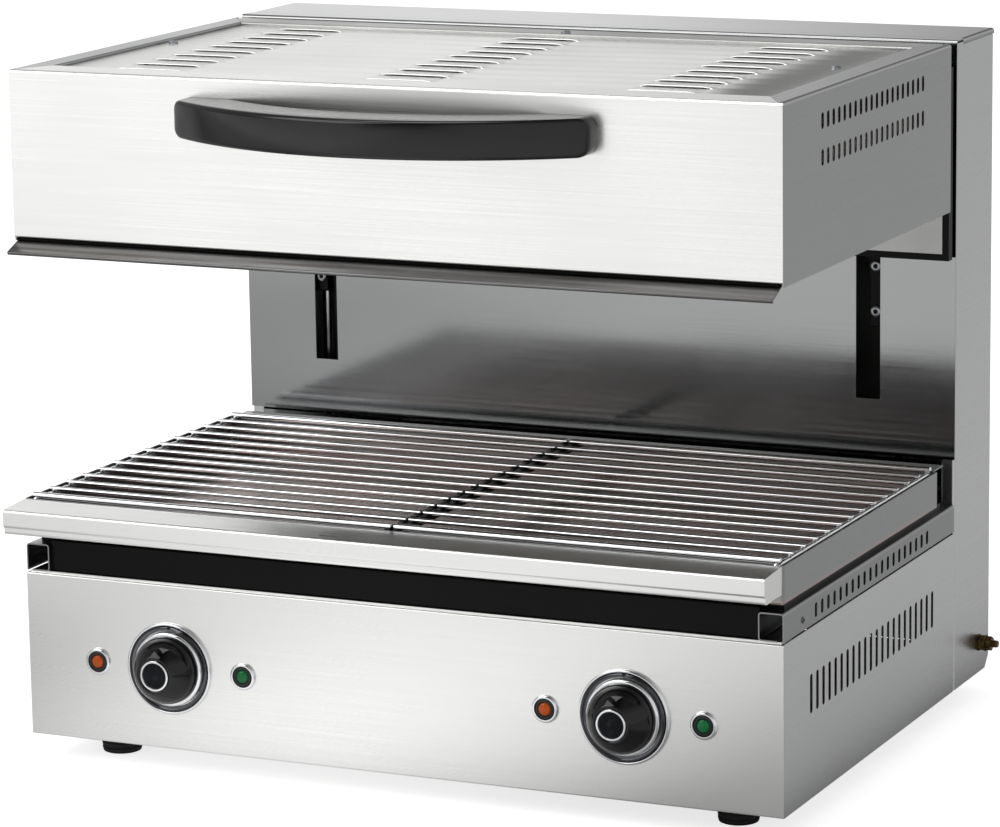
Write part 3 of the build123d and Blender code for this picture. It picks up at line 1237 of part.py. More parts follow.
ARM_X, ARM_THICK = 235.5, 6.0
with BuildPart() as lift_arms:
    with BuildSketch(front_plane(HEAD_REAR + FRAME_DEPTH)):
        with Locations((-ARM_X, (ARM_BOTTOM + ARM_TOP) / 2), (ARM_X, (ARM_BOTTOM + ARM_TOP) / 2)):
            Rectangle(ARM_THICK, ARM_TOP - ARM_BOTTOM)
    extrude(amount=-(BAR_Y - HEAD_REAR - FRAME_DEPTH))
lift_arms.part.label = "lift_arms"
write_step(lift_arms.part)

BAR_WIDTH, BOLT_ZS, BOLT_R, BOLT_HEAD, BOLT_ROUND = 20.0, (310.0, 345.0), 3.9, 2.6, 1.0
BLOCK_X, BLOCK_WIDTH, BLOCK_REAR_Y, BUSH_R, BUSH_LENGTH = 244.0, 36.0, 420.0, 9.0, 22.0
with BuildPart() as carriages:
    bar_x = BAR_INNER_X + BAR_WIDTH / 2
    with BuildSketch(front_plane(BAR_Y)):
        with Locations((-bar_x, (BAR_BOTTOM + CARRIAGE_TOP) / 2), (bar_x, (BAR_BOTTOM + CARRIAGE_TOP) / 2)):
            Rectangle(BAR_WIDTH, CARRIAGE_TOP - BAR_BOTTOM)
    extrude(amount=-BAR_THICK)
    chamfer(carriages.edges().group_by(Axis.Z)[0], length=0.8)
    block_front_y = BAR_Y + BAR_THICK
    with BuildSketch(level_plane(CARRIAGE_BOTTOM)):
        for side in (-1, 1):
            with Locations((side * BLOCK_X, (block_front_y + BLOCK_REAR_Y) / 2)):
                Rectangle(BLOCK_WIDTH, BLOCK_REAR_Y - block_front_y)
            with Locations((side * ROD_X, ROD_Y)):
                Circle(BUSH_R, mode=Mode.SUBTRACT)
    extrude(amount=CARRIAGE_TOP - CARRIAGE_BOTTOM)
    with BuildSketch(front_plane(BAR_Y)):
        with Locations(*[(side * ARM_X, bolt_z) for side in (-1, 1) for bolt_z in BOLT_ZS]):
            Circle(BOLT_R)
    extrude(amount=BOLT_HEAD)
    fillet(carriages.edges().group_by(Axis.Y)[0], radius=BOLT_ROUND)
carriages.part.label = "carriages"
write_step(carriages.part)

with BuildPart() as slide_bushes:
    for bush_z in (CARRIAGE_BOTTOM, CARRIAGE_TOP - BUSH_LENGTH):
        with BuildSketch(level_plane(bush_z)):
            with Locations((-ROD_X, ROD_Y), (ROD_X, ROD_Y)):
                Circle(BUSH_R)
                Circle(ROD_R + 0.06, mode=Mode.SUBTRACT)
        extrude(amount=BUSH_LENGTH)
slide_bushes.part.label = "slide_bushes"
write_step(slide_bushes.part)
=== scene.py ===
"""Lift salamander grill: looks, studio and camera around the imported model.

Pieces are modelled in millimetres, x to the right of the grill's middle, y behind the
face of its front panels and z above the worktop, and FROM_MM takes them into the frame.
"""

from math import cos, pi, radians, sin, sqrt

import bmesh
import bpy
from mathutils import Matrix, Vector
from mathutils.geometry import interpolate_bezier


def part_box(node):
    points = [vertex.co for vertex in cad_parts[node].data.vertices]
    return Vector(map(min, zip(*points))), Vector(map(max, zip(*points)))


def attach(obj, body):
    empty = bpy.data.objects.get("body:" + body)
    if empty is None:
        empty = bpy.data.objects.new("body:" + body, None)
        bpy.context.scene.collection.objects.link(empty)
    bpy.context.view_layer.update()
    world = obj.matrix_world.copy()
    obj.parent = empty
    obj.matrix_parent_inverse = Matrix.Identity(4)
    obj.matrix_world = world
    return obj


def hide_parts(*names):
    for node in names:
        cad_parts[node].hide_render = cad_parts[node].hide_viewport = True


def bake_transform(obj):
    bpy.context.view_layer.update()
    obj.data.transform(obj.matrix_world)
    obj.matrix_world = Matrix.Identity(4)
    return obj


bl_info = {
    "name": "Lift Salamander Grill",
    "version": (1, 0, 0),
    "blender": (4, 5, 0),
    "location": "View3D > Sidebar > Grill",
    "description": "Dresses the packed model of a lift salamander grill and sets its studio",
    "category": "Add Mesh",
}

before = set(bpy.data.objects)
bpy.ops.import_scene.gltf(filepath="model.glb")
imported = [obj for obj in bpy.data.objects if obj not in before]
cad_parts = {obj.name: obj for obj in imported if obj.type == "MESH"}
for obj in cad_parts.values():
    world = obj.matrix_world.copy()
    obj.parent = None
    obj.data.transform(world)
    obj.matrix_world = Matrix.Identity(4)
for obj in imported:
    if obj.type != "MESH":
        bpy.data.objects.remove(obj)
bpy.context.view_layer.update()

MM = 0.001
MIDDLE_X = sum(corner.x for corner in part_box("base_sides")) / 2
FRONT_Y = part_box("head_front_panel")[0].y
FROM_MM = Matrix.Translation((MIDDLE_X, FRONT_Y, 0)) @ Matrix.Scale(MM, 4)
TO_MM = FROM_MM.inverted()
RIGHT, BACK, UP = Vector((1, 0, 0)), Vector((0, 1, 0)), Vector((0, 0, 1))
# thickness of the top cover, in millimetres
COVER_SHEET = 1.0


def span(node):
    """Lowest and highest corner of a CAD node in millimetres."""
    low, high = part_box(node)
    return TO_MM @ low, TO_MM @ high


def linear(code):
    """An sRGB hex value as the linear colour that a shader socket takes."""
    channels = [int(code[i:i + 2], 16) / 255 for i in (0, 2, 4)]
    curve = [c / 12.92 if c <= 0.04045 else ((c + 0.055) / 1.055) ** 2.4 for c in channels]
    return (*curve, 1.0)


# ---------------------------------------------------------------- settings
def colour_property(name, code, description):
    """A colour that the panel shows, with its default given as sRGB hex."""
    return bpy.props.FloatVectorProperty(
        name=name, description=description, subtype="COLOR", size=4, min=0, max=1,
        default=linear(code),
    )


def length_property(name, millimetres, description):
    """A length that the panel shows, kept in metres, with its default in millimetres."""
    return bpy.props.FloatProperty(
        name=name, description=description, unit="LENGTH", min=0, precision=4,
        default=millimetres * MM,
    )


class GrillSizes(bpy.types.PropertyGroup):
    """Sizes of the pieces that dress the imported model."""

    handle_round: length_property("Handle Rounding", 3.4, "Radius of the handle's long edges")
    handle_corner: length_property("Handle Corner", 8.0, "Radius of the handle's upright corners")
    louvre_rise: length_property("Louvre Rise", 1.4, "How far a louvre is pressed up")
    scratch_pitch: length_property("Scratch Pitch", 0.9, "Spacing of the steel's grinding lines")
    index_dot: length_property("Index Dot", 1.3, "Radius of the dot above each knob")


class GrillColours(bpy.types.PropertyGroup):
    """Colours of the finishes."""

    # one ground steel in lit and shaded copies: front, top and casing colours are painted light,
    # and the head's sides, the tray and its rails and the column's front are painted shade
    front_steel: colour_property("Front Steel", "EFEFED", "Ground steel of the front panels")
    side_steel: colour_property("Side Steel", "A6A7A7", "Ground steel of the head's sides")
    casing_steel: colour_property("Casing Steel", "CDCECE", "Ground steel of column and base sides")
    tray_steel: colour_property("Tray Steel", "929394", "Ground steel of the tray and its rails")
    top_steel: colour_property("Top Steel", "EEEEEC", "Ground steel of the head's top")
    column_steel: colour_property("Column Steel", "9C9D9D", "Bright steel of the column's front")
    chrome: colour_property("Chrome", "E6E7E9", "Chrome plating of wires, rings and discs")
    handle: colour_property("Handle", "0A0A0B", "Moulded plastic of the handle")
    knob: colour_property("Knob", "060607", "Moulded plastic of the knobs")
    amber: colour_property("Amber Lamp", "C9560C", "Lens of the heating lamps")
    green: colour_property("Green Lamp", "07733C", "Lens of the mains lamps")


class GrillStudio(bpy.types.PropertyGroup):
    """The light around the grill."""

    fill: bpy.props.FloatProperty(
        name="Fill", description="Strength of the even light from all round", default=0.4, min=0
    )
    far_side: bpy.props.FloatProperty(
        name="Far Side", default=0.22, min=0, max=1,
        description="How much of the white metal shows on the side away from the key lamp",
    )
    key_power: bpy.props.FloatProperty(
        name="Key Power", unit="POWER", default=44.0, min=0,
        description="Power of the large soft lamp at the front left",
    )
    top_power: bpy.props.FloatProperty(
        name="Top Power", unit="POWER", default=20.0, min=0,
        description="Power of the soft lamp overhead",
    )


# ---------------------------------------------------------------- materials
# a noise keeps between these for most of its surface, and a wave runs from 0 to 1
NOISE_RANGE, WAVE_RANGE = (0.3, 0.7), (0, 1)
# grinding lines run on for so many times their spacing
SCRATCH_STRETCH = 160


def add_node(tree, kind, inputs=(), **settings):
    """Adds a shader node, sets or links its inputs by order or name, and gives its outputs."""
    node = tree.nodes.new(f"ShaderNode{kind}")
    for name, value in settings.items():
        setattr(node, name, value)
    for name, value in inputs.items() if isinstance(inputs, dict) else enumerate(inputs):
        if isinstance(value, bpy.types.NodeSocket):
            tree.links.new(value, node.inputs[name])
        else:
            node.inputs[name].default_value = value
    return node.outputs


def shade(colour, share=1.0):
    """A colour by its name in the panel or as sRGB hex, at a share of its light."""
    panel = bpy.context.scene.grill_colours
    channels = getattr(panel, colour) if colour in panel.bl_rna.properties else linear(colour)
    return (*(channel * share for channel in channels[:3]), 1.0)


def dressed(tree, colours, rough, relief=None, between=NOISE_RANGE, **constants):
    """A shader's inputs: (pattern, two colours), (pattern, least and most roughness) and, where
    the surface can be felt, (pattern, strength, millimetres)."""
    pattern, low, high = rough
    inputs = {
        "Base Color": add_node(tree, "MixRGB", colours)[0],
        "Roughness": add_node(tree, "MapRange", (pattern, *between, low, high))[0],
        **constants,
    }
    if relief:
        height, strength, millimetres = relief
        bump = {"Height": height, "Strength": strength, "Distance": millimetres * MM}
        inputs["Normal"] = add_node(tree, "Bump", bump)[0]
    return inputs


def scratch_lines(tree, place, along):
    """Grinding lines along an axis. Real ones are a tenth of this apart: they are drawn as
    coarse as they need to show."""
    across = 1 / bpy.context.scene.grill_sizes.scratch_pitch
    scale = [across] * 3
    scale[along] = across / SCRATCH_STRETCH
    laid = add_node(tree, "Mapping", {"Vector": place, "Scale": scale})[0]
    lines = {"Vector": laid, "Scale": 1.0, "Detail": 4.0, "Roughness": 0.65}
    return add_node(tree, "TexNoise", lines)["Fac"]


def ground_stainless(tree, place, colour, along, rough=(0.26, 0.34)):
    """304 sheet ground on a belt: long fine scratches along one axis, which smear a
    highlight across them, and faint clouds where it has been wiped."""
    scratches = scratch_lines(tree, place, along)
    inputs = dressed(
        tree, (scratches, shade(colour), shade(colour, 0.94)), (scratches, *rough),
        (scratches, 0.12, 0.06), Metallic=1.0,
    )
    clouds = add_node(tree, "TexNoise", {"Vector": place, "Scale": 6.0})["Fac"]
    wiped = add_node(tree, "MapRange", (clouds, *NOISE_RANGE, -0.03, 0.03))[0]
    inputs["Roughness"] = add_node(tree, "Math", (inputs["Roughness"], wiped))[0]
    return inputs


def mill_stainless(tree, place, colour, rough=(0.3, 0.42)):
    """Cold-rolled sheet as it leaves the mill: even and dull, with broad soft clouds."""
    clouds = add_node(tree, "TexNoise", {"Vector": place, "Scale": 9.0, "Detail": 3.0})["Fac"]
    grains = add_node(tree, "TexNoise", {"Vector": place, "Scale": 1800.0})["Fac"]
    return dressed(
        tree, (clouds, shade(colour), shade(colour, 0.86)), (clouds, *rough),
        (grains, 0.2, 0.02), Metallic=1.0,
    )


def chrome_plate(tree, place, colour, rough=(0.07, 0.13)):
    """Nickel and chrome on steel wire: a mirror, a little dulled by use."""
    wear = add_node(tree, "TexNoise", {"Vector": place, "Scale": 60.0, "Detail": 3.0})["Fac"]
    return dressed(
        tree, (wear, shade(colour), shade(colour, 0.92)), (wear, *rough), Metallic=1.0
    )


def speckled_metal(tree, place, colour, second, cells, rough, height):
    """Cast or plated metal: a mottled colour and a fine grain that can be felt."""
    mottle = add_node(tree, "TexNoise", {"Vector": place, "Scale": cells, "Detail": 3.0})["Fac"]
    grain = add_node(tree, "TexNoise", {"Vector": place, "Scale": cells * 8})["Fac"]
    share = add_node(tree, "MapRange", (mottle, *NOISE_RANGE, 0, 1))[0]
    return dressed(
        tree, (share, shade(colour), shade(second)), (mottle, *rough), (grain, 0.5, height),
        Metallic=1.0,
    )


def moulded_plastic(tree, place, colour, rough, texture=0.02, ior=1.5):
    """Moulded phenolic or nylon: a deep even colour with the mould's fine texture."""
    cloud = add_node(tree, "TexNoise", {"Vector": place, "Scale": 40.0})["Fac"]
    grain = add_node(tree, "TexNoise", {"Vector": place, "Scale": 2200.0})["Fac"]
    return dressed(
        tree, (cloud, shade(colour), shade(colour, 0.8)), (cloud, *rough),
        (grain, 0.3, texture), IOR=ior,
    )


def black_enamel(tree, place, colour):
    """Stove enamel: dark, with the low gloss and the orange peel of sprayed coats."""
    peel = add_node(tree, "TexNoise", {"Vector": place, "Scale": 700.0})["Fac"]
    cloud = add_node(tree, "TexNoise", {"Vector": place, "Scale": 12.0})["Fac"]
    return dressed(
        tree, (cloud, shade(colour), shade(colour, 0.7)), (cloud, 0.3, 0.42),
        (peel, 0.4, 0.04), IOR=1.22,
    )


def lamp_lens(tree, place, colour):
    """Moulded polycarbonate cap: a clear colour under a wet gloss, painted darker as painted shade
    where its surface turns from view.
    """
    painted_edge_shade = add_node(tree, "LayerWeight", {"Blend": 0.35})["Facing"]
    ripple = add_node(tree, "TexNoise", {"Vector": place, "Scale": 900.0})["Fac"]
    return dressed(
        tree, (painted_edge_shade, shade(colour), shade(colour, 0.35)), (ripple, 0.08, 0.16), IOR=1.36
    )


def foot_rubber(tree, place):
    """Black rubber: no gloss, dusty on its texture."""
    dust = add_node(tree, "TexNoise", {"Vector": place, "Scale": 300.0, "Detail": 4.0})["Fac"]
    return dressed(
        tree, (dust, shade("151515"), shade("2E2D2C")), (dust, 0.62, 0.85), (dust, 0.4, 0.1)
    )


def painted_shadow_fibre(tree, place):
    """Painted shadow: a black strip with no gloss and the fine lay of woven glass fibre threads."""
    lay = {"Vector": place, "Scale": 260.0, "Distortion": 1.5}
    lay = add_node(tree, "TexWave", lay, bands_direction="X")["Fac"]
    return dressed(
        tree, (lay, shade("070707"), shade("141313")), (lay, 0.85, 0.97), (lay, 0.5, 0.15),
        WAVE_RANGE, IOR=1.2,
    )


def mineral_wool(tree, place):
    """Stone wool board: fibres of buff and brown, with no gloss at all."""
    laid = add_node(tree, "Mapping", {"Vector": place, "Scale": (120, 500, 900)})[0]
    fibres = {"Vector": laid, "Scale": 1.0, "Detail": 5.0, "Roughness": 0.7}
    fibres = add_node(tree, "TexNoise", fibres)["Fac"]
    share = add_node(tree, "MapRange", (fibres, *NOISE_RANGE, 0, 1))[0]
    return dressed(
        tree, (share, shade("B9A67E"), shade("7C6A48")), (fibres, 0.85, 0.98), (fibres, 0.8, 0.6)
    )


def fired_sheath(tree, place):
    """Alloy tube that has glowed: a dark oxide skin, browner and greener by patches."""
    patches = add_node(tree, "TexNoise", {"Vector": place, "Scale": 45.0, "Detail": 4.0})["Fac"]
    skin = add_node(tree, "TexNoise", {"Vector": place, "Scale": 900.0})["Fac"]
    share = add_node(tree, "MapRange", (patches, *NOISE_RANGE, 0, 1))[0]
    return dressed(
        tree, (share, shade("3B3733"), shade("6A645A")), (patches, 0.45, 0.65),
        (skin, 0.5, 0.05), Metallic=0.6,
    )


def glazed_ceramic(tree, place):
    """Steatite: off-white, dense, with a dull glaze."""
    stain = add_node(tree, "TexNoise", {"Vector": place, "Scale": 60.0, "Detail": 3.0})["Fac"]
    return dressed(tree, (stain, shade("EAE5DA"), shade("D2C9B8")), (stain, 0.25, 0.4))


def wire_rope(tree, place):
    """Galvanised rope of 7 strands: the lay shows in slanting bands, its relief as a bump, and the
    light and dark bands are painted light on the strands and painted shade in the grooves between
    them.
    """
    # the lay of a 3 mm rope takes about 20 mm for a turn, so 7 strands are 3 mm apart
    slanted = add_node(tree, "Mapping", {"Vector": place, "Rotation": (0.6, 0.6, 0)})[0]
    lay_bands_and_shade = {"Vector": slanted, "Scale": 105.0, "Distortion": 0.4}
    lay_bands_and_shade = add_node(tree, "TexWave", lay_bands_and_shade, bands_direction="Z")["Fac"]
    return dressed(
        tree, (lay_bands_and_shade, shade("6F7072"), shade("B9BBBD")), (lay_bands_and_shade, 0.5, 0.3),
        (lay_bands_and_shade, 0.5, 0.3), WAVE_RANGE, Metallic=1.0,
    )


def seasoned_stainless(tree, place, colour):
    """The tray's sheet after use: its floor is tinted brown by burnt-on fat and painted lighter
    than its walls as painted light, and its walls have stayed clean."""
    scratches = scratch_lines(tree, place, 0)
    height = add_node(tree, "SeparateXYZ", (place,))["Z"]
    floor = span("tray_pan")[0].z
    on_floor = add_node(tree, "MapRange", (height, (floor + 2) * MM, (floor + 5) * MM, 1, 0))[0]
    fat = {"Vector": place, "Scale": 14.0, "Detail": 4.0, "Roughness": 0.6}
    fat = add_node(tree, "TexNoise", fat)["Fac"]
    patches = add_node(tree, "MapRange", (fat, *NOISE_RANGE, 0.3, 1))[0]
    # the floor's patches are a brown fat stain and painted light at once
    stain_and_painted_light = add_node(tree, "Math", (patches, on_floor), operation="MULTIPLY")[0]
    return dressed(
        tree, (stain_and_painted_light, shade(colour), shade("B09A93")), (scratches, 0.18, 0.32),
        (scratches, 0.25, 0.06), Metallic=1.0,
    )


def heat_tint_and_painted_shade(tree, place):
    """Ground sheet at the mouth of the grill: dulled and browned by the heat in long bands, and
    painted dark grey as painted shade of the dark recess that it mirrors.
    """
    laid = add_node(tree, "Mapping", {"Vector": place, "Scale": (6, 160, 160)})[0]
    bands = add_node(tree, "TexNoise", {"Vector": laid, "Scale": 1.0, "Detail": 3.0})["Fac"]
    share = add_node(tree, "MapRange", (bands, *NOISE_RANGE, 0, 1))[0]
    return dressed(
        tree, (share, shade("757575"), shade("4E4A47")), (bands, 0.26, 0.4),
        (bands, 0.3, 0.03), Metallic=1.0,
    )


# what each finish is called, the function that makes it, and its colours and settings
FINISHES = {
    # the ground and bright steels differ in colour only by painted light and shade
    "stainless_ground_front": (ground_stainless, "front_steel", 0),
    "stainless_ground_side": (ground_stainless, "side_steel", 1),
    "stainless_ground_casing": (ground_stainless, "casing_steel", 1),
    "stainless_ground_rail": (ground_stainless, "tray_steel", 1),
    "stainless_ground_top": (ground_stainless, "top_steel", 0),
    "stainless_bright": (ground_stainless, "column_steel", 0, (0.08, 0.15)),
    "stainless_mill": (mill_stainless, "B9B9B7"),
    "stainless_heat_tinted": (heat_tint_and_painted_shade,),
    "stainless_reflector": (mill_stainless, "D8D2C4", (0.16, 0.26)),
    "stainless_seasoned": (seasoned_stainless, "tray_steel"),
    "chrome_plate": (chrome_plate, "chrome"),
    # chrome darkened as a painted reflection of the black knob, for the rings' dish
    "black_chrome": (chrome_plate, "5C5D60"),
    "ground_rod": (chrome_plate, "C4C5C8", (0.15, 0.24)),
    "zinc_plate": (speckled_metal, "B4B8BC", "9A9EA4", 90.0, (0.3, 0.45), 0.02),
    "cast_aluminium": (speckled_metal, "B2B2B0", "999997", 220.0, (0.45, 0.6), 0.06),
    "brass_turned": (speckled_metal, "77603A", "3A2F22", 160.0, (0.28, 0.42), 0.01),
    "bronze_sintered": (speckled_metal, "A9794A", "8A5F38", 400.0, (0.4, 0.55), 0.04),
    "disc_anodised_black": (speckled_metal, "26272A", "1B1C1E", 120.0, (0.24, 0.34), 0.004),
    "cast_iron_painted": (black_enamel, "33363A"),
    "black_stove_enamel": (black_enamel, "0C0C0C"),
    "phenolic_satin": (moulded_plastic, "handle", (0.13, 0.2), 0.02, 1.45),
    "phenolic_gloss": (moulded_plastic, "knob", (0.05, 0.08), 0.002, 1.42),
    "nylon_black": (moulded_plastic, "131314", (0.45, 0.6)),
    "nylon_grey": (moulded_plastic, "4A4B4D", (0.45, 0.6)),
    "polycarbonate_amber": (lamp_lens, "amber"),
    "polycarbonate_green": (lamp_lens, "green"),
    "rubber_black": (foot_rubber,),
    "seal_black": (painted_shadow_fibre,),
    "mineral_wool": (mineral_wool,),
    "fired_sheath": (fired_sheath,),
    "glazed_ceramic": (glazed_ceramic,),
    "wire_rope": (wire_rope,),
}


def blank(name):
    """A new material, and its tree with nothing in it."""
    material = bpy.data.materials.new(name)
    material.use_nodes = True
    material.node_tree.nodes.clear()
    return material, material.node_tree


def finish(name):
    """The finish of that name, made when it is first asked for."""
    material = bpy.data.materials.get(name)
    if material is None:
        material, tree = blank(name)
        make, *settings = FINISHES[name]
        place = add_node(tree, "TexCoord")["Object"]
        shader = add_node(tree, "BsdfPrincipled", make(tree, place, *settings))
        add_node(tree, "OutputMaterial", {"Surface": shader[0]})
    return material


# the finish of every CAD node that shows as it is
NODE_FINISHES = {
    "stainless_ground_front": ("head_front_panel", "control_panel", "tray_lip", "deck_plate"),
    "stainless_ground_side": ("head_sides",),
    "stainless_ground_casing": ("base_sides", "column_sides"),
    "stainless_ground_rail": ("side_rails",),
    "stainless_ground_top": ("head_top_cover",),
    "stainless_bright": ("column_front_panel", "column_top_cap", "column_lower_plate"),
    "stainless_mill": (
        "head_back_wall", "column_back_cover", "base_pan", "rack_ledges",
        "element_supports", "back_cover_screws", "head_screws",
    ),
    "stainless_seasoned": ("tray_pan",),
    "stainless_heat_tinted": ("head_front_lip",),
    "stainless_reflector": ("reflector",),
    "chrome_plate": (
        "rack_left", "rack_right", "knob_bezels", "lamp_bezels", "knob_cap_left", "knob_cap_right",
    ),
    "ground_rod": ("guide_rods",),
    "zinc_plate": (
        "lift_arms", "pulley_brackets", "foot_screws", "knob_shaft_left", "knob_shaft_right",
    ),
    "cast_aluminium": ("rod_clamps", "pulley_left", "pulley_right"),
    "brass_turned": ("earth_stud",),
    "bronze_sintered": ("slide_bushes",),
    "cast_iron_painted": ("counterweight",),
    # the tray runners are black as painted shade in the gap under the tray
    "black_stove_enamel": ("lift_frame", "front_baffle", "tray_runners", "carriages"),
    "phenolic_satin": ("handle",),
    "phenolic_gloss": ("knob_left", "knob_right"),
    "nylon_black": ("cable_gland",),
    "nylon_grey": ("energy_regulators", "terminal_block"),
    "polycarbonate_amber": ("amber_lenses",),
    "polycarbonate_green": ("green_lenses",),
    "rubber_black": ("feet",),
    "mineral_wool": ("insulation",),
    "fired_sheath": ("heating_elements",),
    "glazed_ceramic": ("head_terminal_block",),
    "wire_rope": ("head_ropes", "weight_ropes", "rope_bends"),
}


# ---------------------------------------------------------------- modelling
def finish_piece(bm, name, body, finish_names, stands_for=(), corner=38):
    """Makes a bmesh in millimetres a piece: smooth, at the origin, with its body and nodes."""
    bmesh.ops.remove_doubles(bm, verts=bm.verts, dist=0.002)
    bmesh.ops.recalc_face_normals(bm, faces=bm.faces)
    bm.transform(FROM_MM)
    mesh = bpy.data.meshes.new(name)
    bm.to_mesh(mesh)
    bm.free()
    mesh.shade_smooth()
    mesh.set_sharp_from_angle(angle=radians(corner))
    for finish_name in finish_names:
        mesh.materials.append(finish(finish_name))
    piece = bpy.data.objects.new(name, mesh)
    bpy.context.scene.collection.objects.link(piece)
    if body:
        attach(piece, body)
    if stands_for:
        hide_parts(*stands_for)
    return piece


def turn(bm, outline, centre, axis, steps=48, finish_index=0):
    """Spins an outline of (radius, distance along the axis) points round the axis."""
    known = set(bm.faces)
    centre, axis = Vector(centre), Vector(axis).normalized()
    side = axis.orthogonal().normalized()
    points = [bm.verts.new(centre + side * radius + axis * along) for radius, along in outline]
    edges = [bm.edges.new(pair) for pair in zip(points, points[1:])]
    bmesh.ops.spin(
        bm, geom=points + edges, cent=centre, axis=axis, dvec=(0, 0, 0), angle=2 * pi,
        steps=steps, use_merge=True,
    )
    for face in bm.faces:
        if face not in known:
            face.material_index = finish_index


def bowed(start, bend, end, count=8):
    """Points of an outline along a bow from start to end that leans towards bend."""
    start, bend, end = Vector((*start, 0)), Vector((*bend, 0)), Vector((*end, 0))
    first, second = start.lerp(bend, 2 / 3), end.lerp(bend, 2 / 3)
    return [(point.x, point.y) for point in interpolate_bezier(start, first, second, end, count)]


def soften(bm, width, angle=30, segments=2):
    """Rounds the edges that turn by more than an angle in degrees."""
    bm.normal_update()
    edges = [
        edge for edge in bm.edges
        if len(edge.link_faces) == 2 and edge.calc_face_angle() > radians(angle)
    ]
    bmesh.ops.bevel(
        bm, geom=edges, offset=width, offset_type="OFFSET", segments=segments, profile=0.5,
        affect="EDGES", material=-1, clamp_overlap=True,
    )


def new_verts(made):
    """The vertices among what an operator made."""
    return [item for item in made["geom"] if isinstance(item, bmesh.types.BMVert)]


def join(bm, part, place):
    """Adds a small bmesh to a larger one, moved by a matrix."""
    part.transform(place)
    mesh = bpy.data.meshes.new("part")
    part.to_mesh(mesh)
    part.free()
    bm.from_mesh(mesh)
    bpy.data.meshes.remove(mesh)


def standing(centre, axis):
    """The matrix that stands +Z up along an axis at a centre."""
    return Matrix.Translation(centre) @ Vector(axis).to_track_quat("Z", "Y").to_matrix().to_4x4()


def slice_across(bm, axis, places):
    """Cuts a mesh by planes square to an axis."""
    for place in places:
        bmesh.ops.bisect_plane(
            bm, geom=bm.verts[:] + bm.edges[:] + bm.faces[:], plane_co=axis * place,
            plane_no=axis, dist=1e-4,
        )


def cross_screw(bm, centre, axis, radius, height):
    """A pan head with a cross recess, seated at centre and standing out along the axis."""
    part = bmesh.new()
    bmesh.ops.create_grid(part, x_segments=5, y_segments=5, size=1)
    # the grid's lines move to the rim, to the ends of the recess and to its walls
    lines = (-1.0, -0.62, -0.15, 0.15, 0.62, 1.0)
    for vert in part.verts:
        x, y = (lines[round((value + 1) * 2.5)] for value in vert.co.xy)
        rim = max(abs(x), abs(y)) == 1
        flat = Vector((x, y)).normalized() if rim else Vector((x, y))
        vert.co = (*(flat * radius), height * (1 - 0.3 * flat.length_squared))
    arms = [
        face for face in part.faces
        if min(abs(value) for value in face.calc_center_median().xy) < 0.1 * radius
        and max(abs(value) for value in face.calc_center_median().xy) < 0.6 * radius
    ]
    rim_edges = [edge for edge in part.edges if edge.is_boundary]
    sunk = bmesh.ops.extrude_face_region(part, geom=arms)
    bmesh.ops.delete(part, geom=arms, context="FACES")
    for vert in new_verts(sunk):
        vert.co = Vector((vert.co.x * 0.85, vert.co.y * 0.85, height * 0.35))
    for vert in new_verts(bmesh.ops.extrude_edge_only(part, edges=rim_edges)):
        vert.co.z = 0
    foot = [edge for edge in part.edges if edge.is_boundary]
    bmesh.ops.contextual_create(part, geom=foot)
    join(bm, part, standing(centre, axis))


def threads(bm, centre, axis, radius, length, pitch):
    """A screw thread: one V of its outline spun and moved on by a pitch each turn."""
    centre, axis = Vector(centre), Vector(axis).normalized()
    side = axis.orthogonal().normalized()
    steps, root = 20, radius * 0.84
    outline = ((root, 0.0), (radius, pitch * 0.45), (radius, pitch * 0.55), (root, pitch))
    points = [bm.verts.new(centre + side * far + axis * along) for far, along in outline]
    edges = [bm.edges.new(pair) for pair in zip(points, points[1:])]
    turns = int(length / pitch)
    bmesh.ops.spin(
        bm, geom=points + edges, cent=centre, axis=axis, dvec=axis * pitch / steps,
        angle=2 * pi * turns, steps=steps * turns,
    )


def hex_nut(bm, centre, axis, radius, thickness, bore):
    """A hexagon nut with a bore and softened corners."""
    part = bmesh.new()
    rings = []
    for sides, ring_radius in ((6, radius), (24, bore)):
        ring = bmesh.ops.create_circle(part, segments=sides, radius=ring_radius)["verts"]
        rings += list({edge for vert in ring for edge in vert.link_edges})
    bmesh.ops.triangle_fill(part, edges=rings, use_beauty=True)
    for vert in new_verts(bmesh.ops.extrude_face_region(part, geom=part.faces[:])):
        vert.co.z = thickness
    bmesh.ops.recalc_face_normals(part, faces=part.faces)
    soften(part, 0.35, 25)
    join(bm, part, standing(centre, axis))


# ---------------------------------------------------------------- operators
class GRILL_OT_finishes(bpy.types.Operator):
    """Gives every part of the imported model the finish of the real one"""

    bl_idname = "grill.finishes"
    bl_label = "Finishes"

    def execute(self, context):
        for finish_name, nodes in NODE_FINISHES.items():
            for node in nodes:
                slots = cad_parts[node].data.materials
                slots.clear()
                slots.append(finish(finish_name))
        return {"FINISHED"}


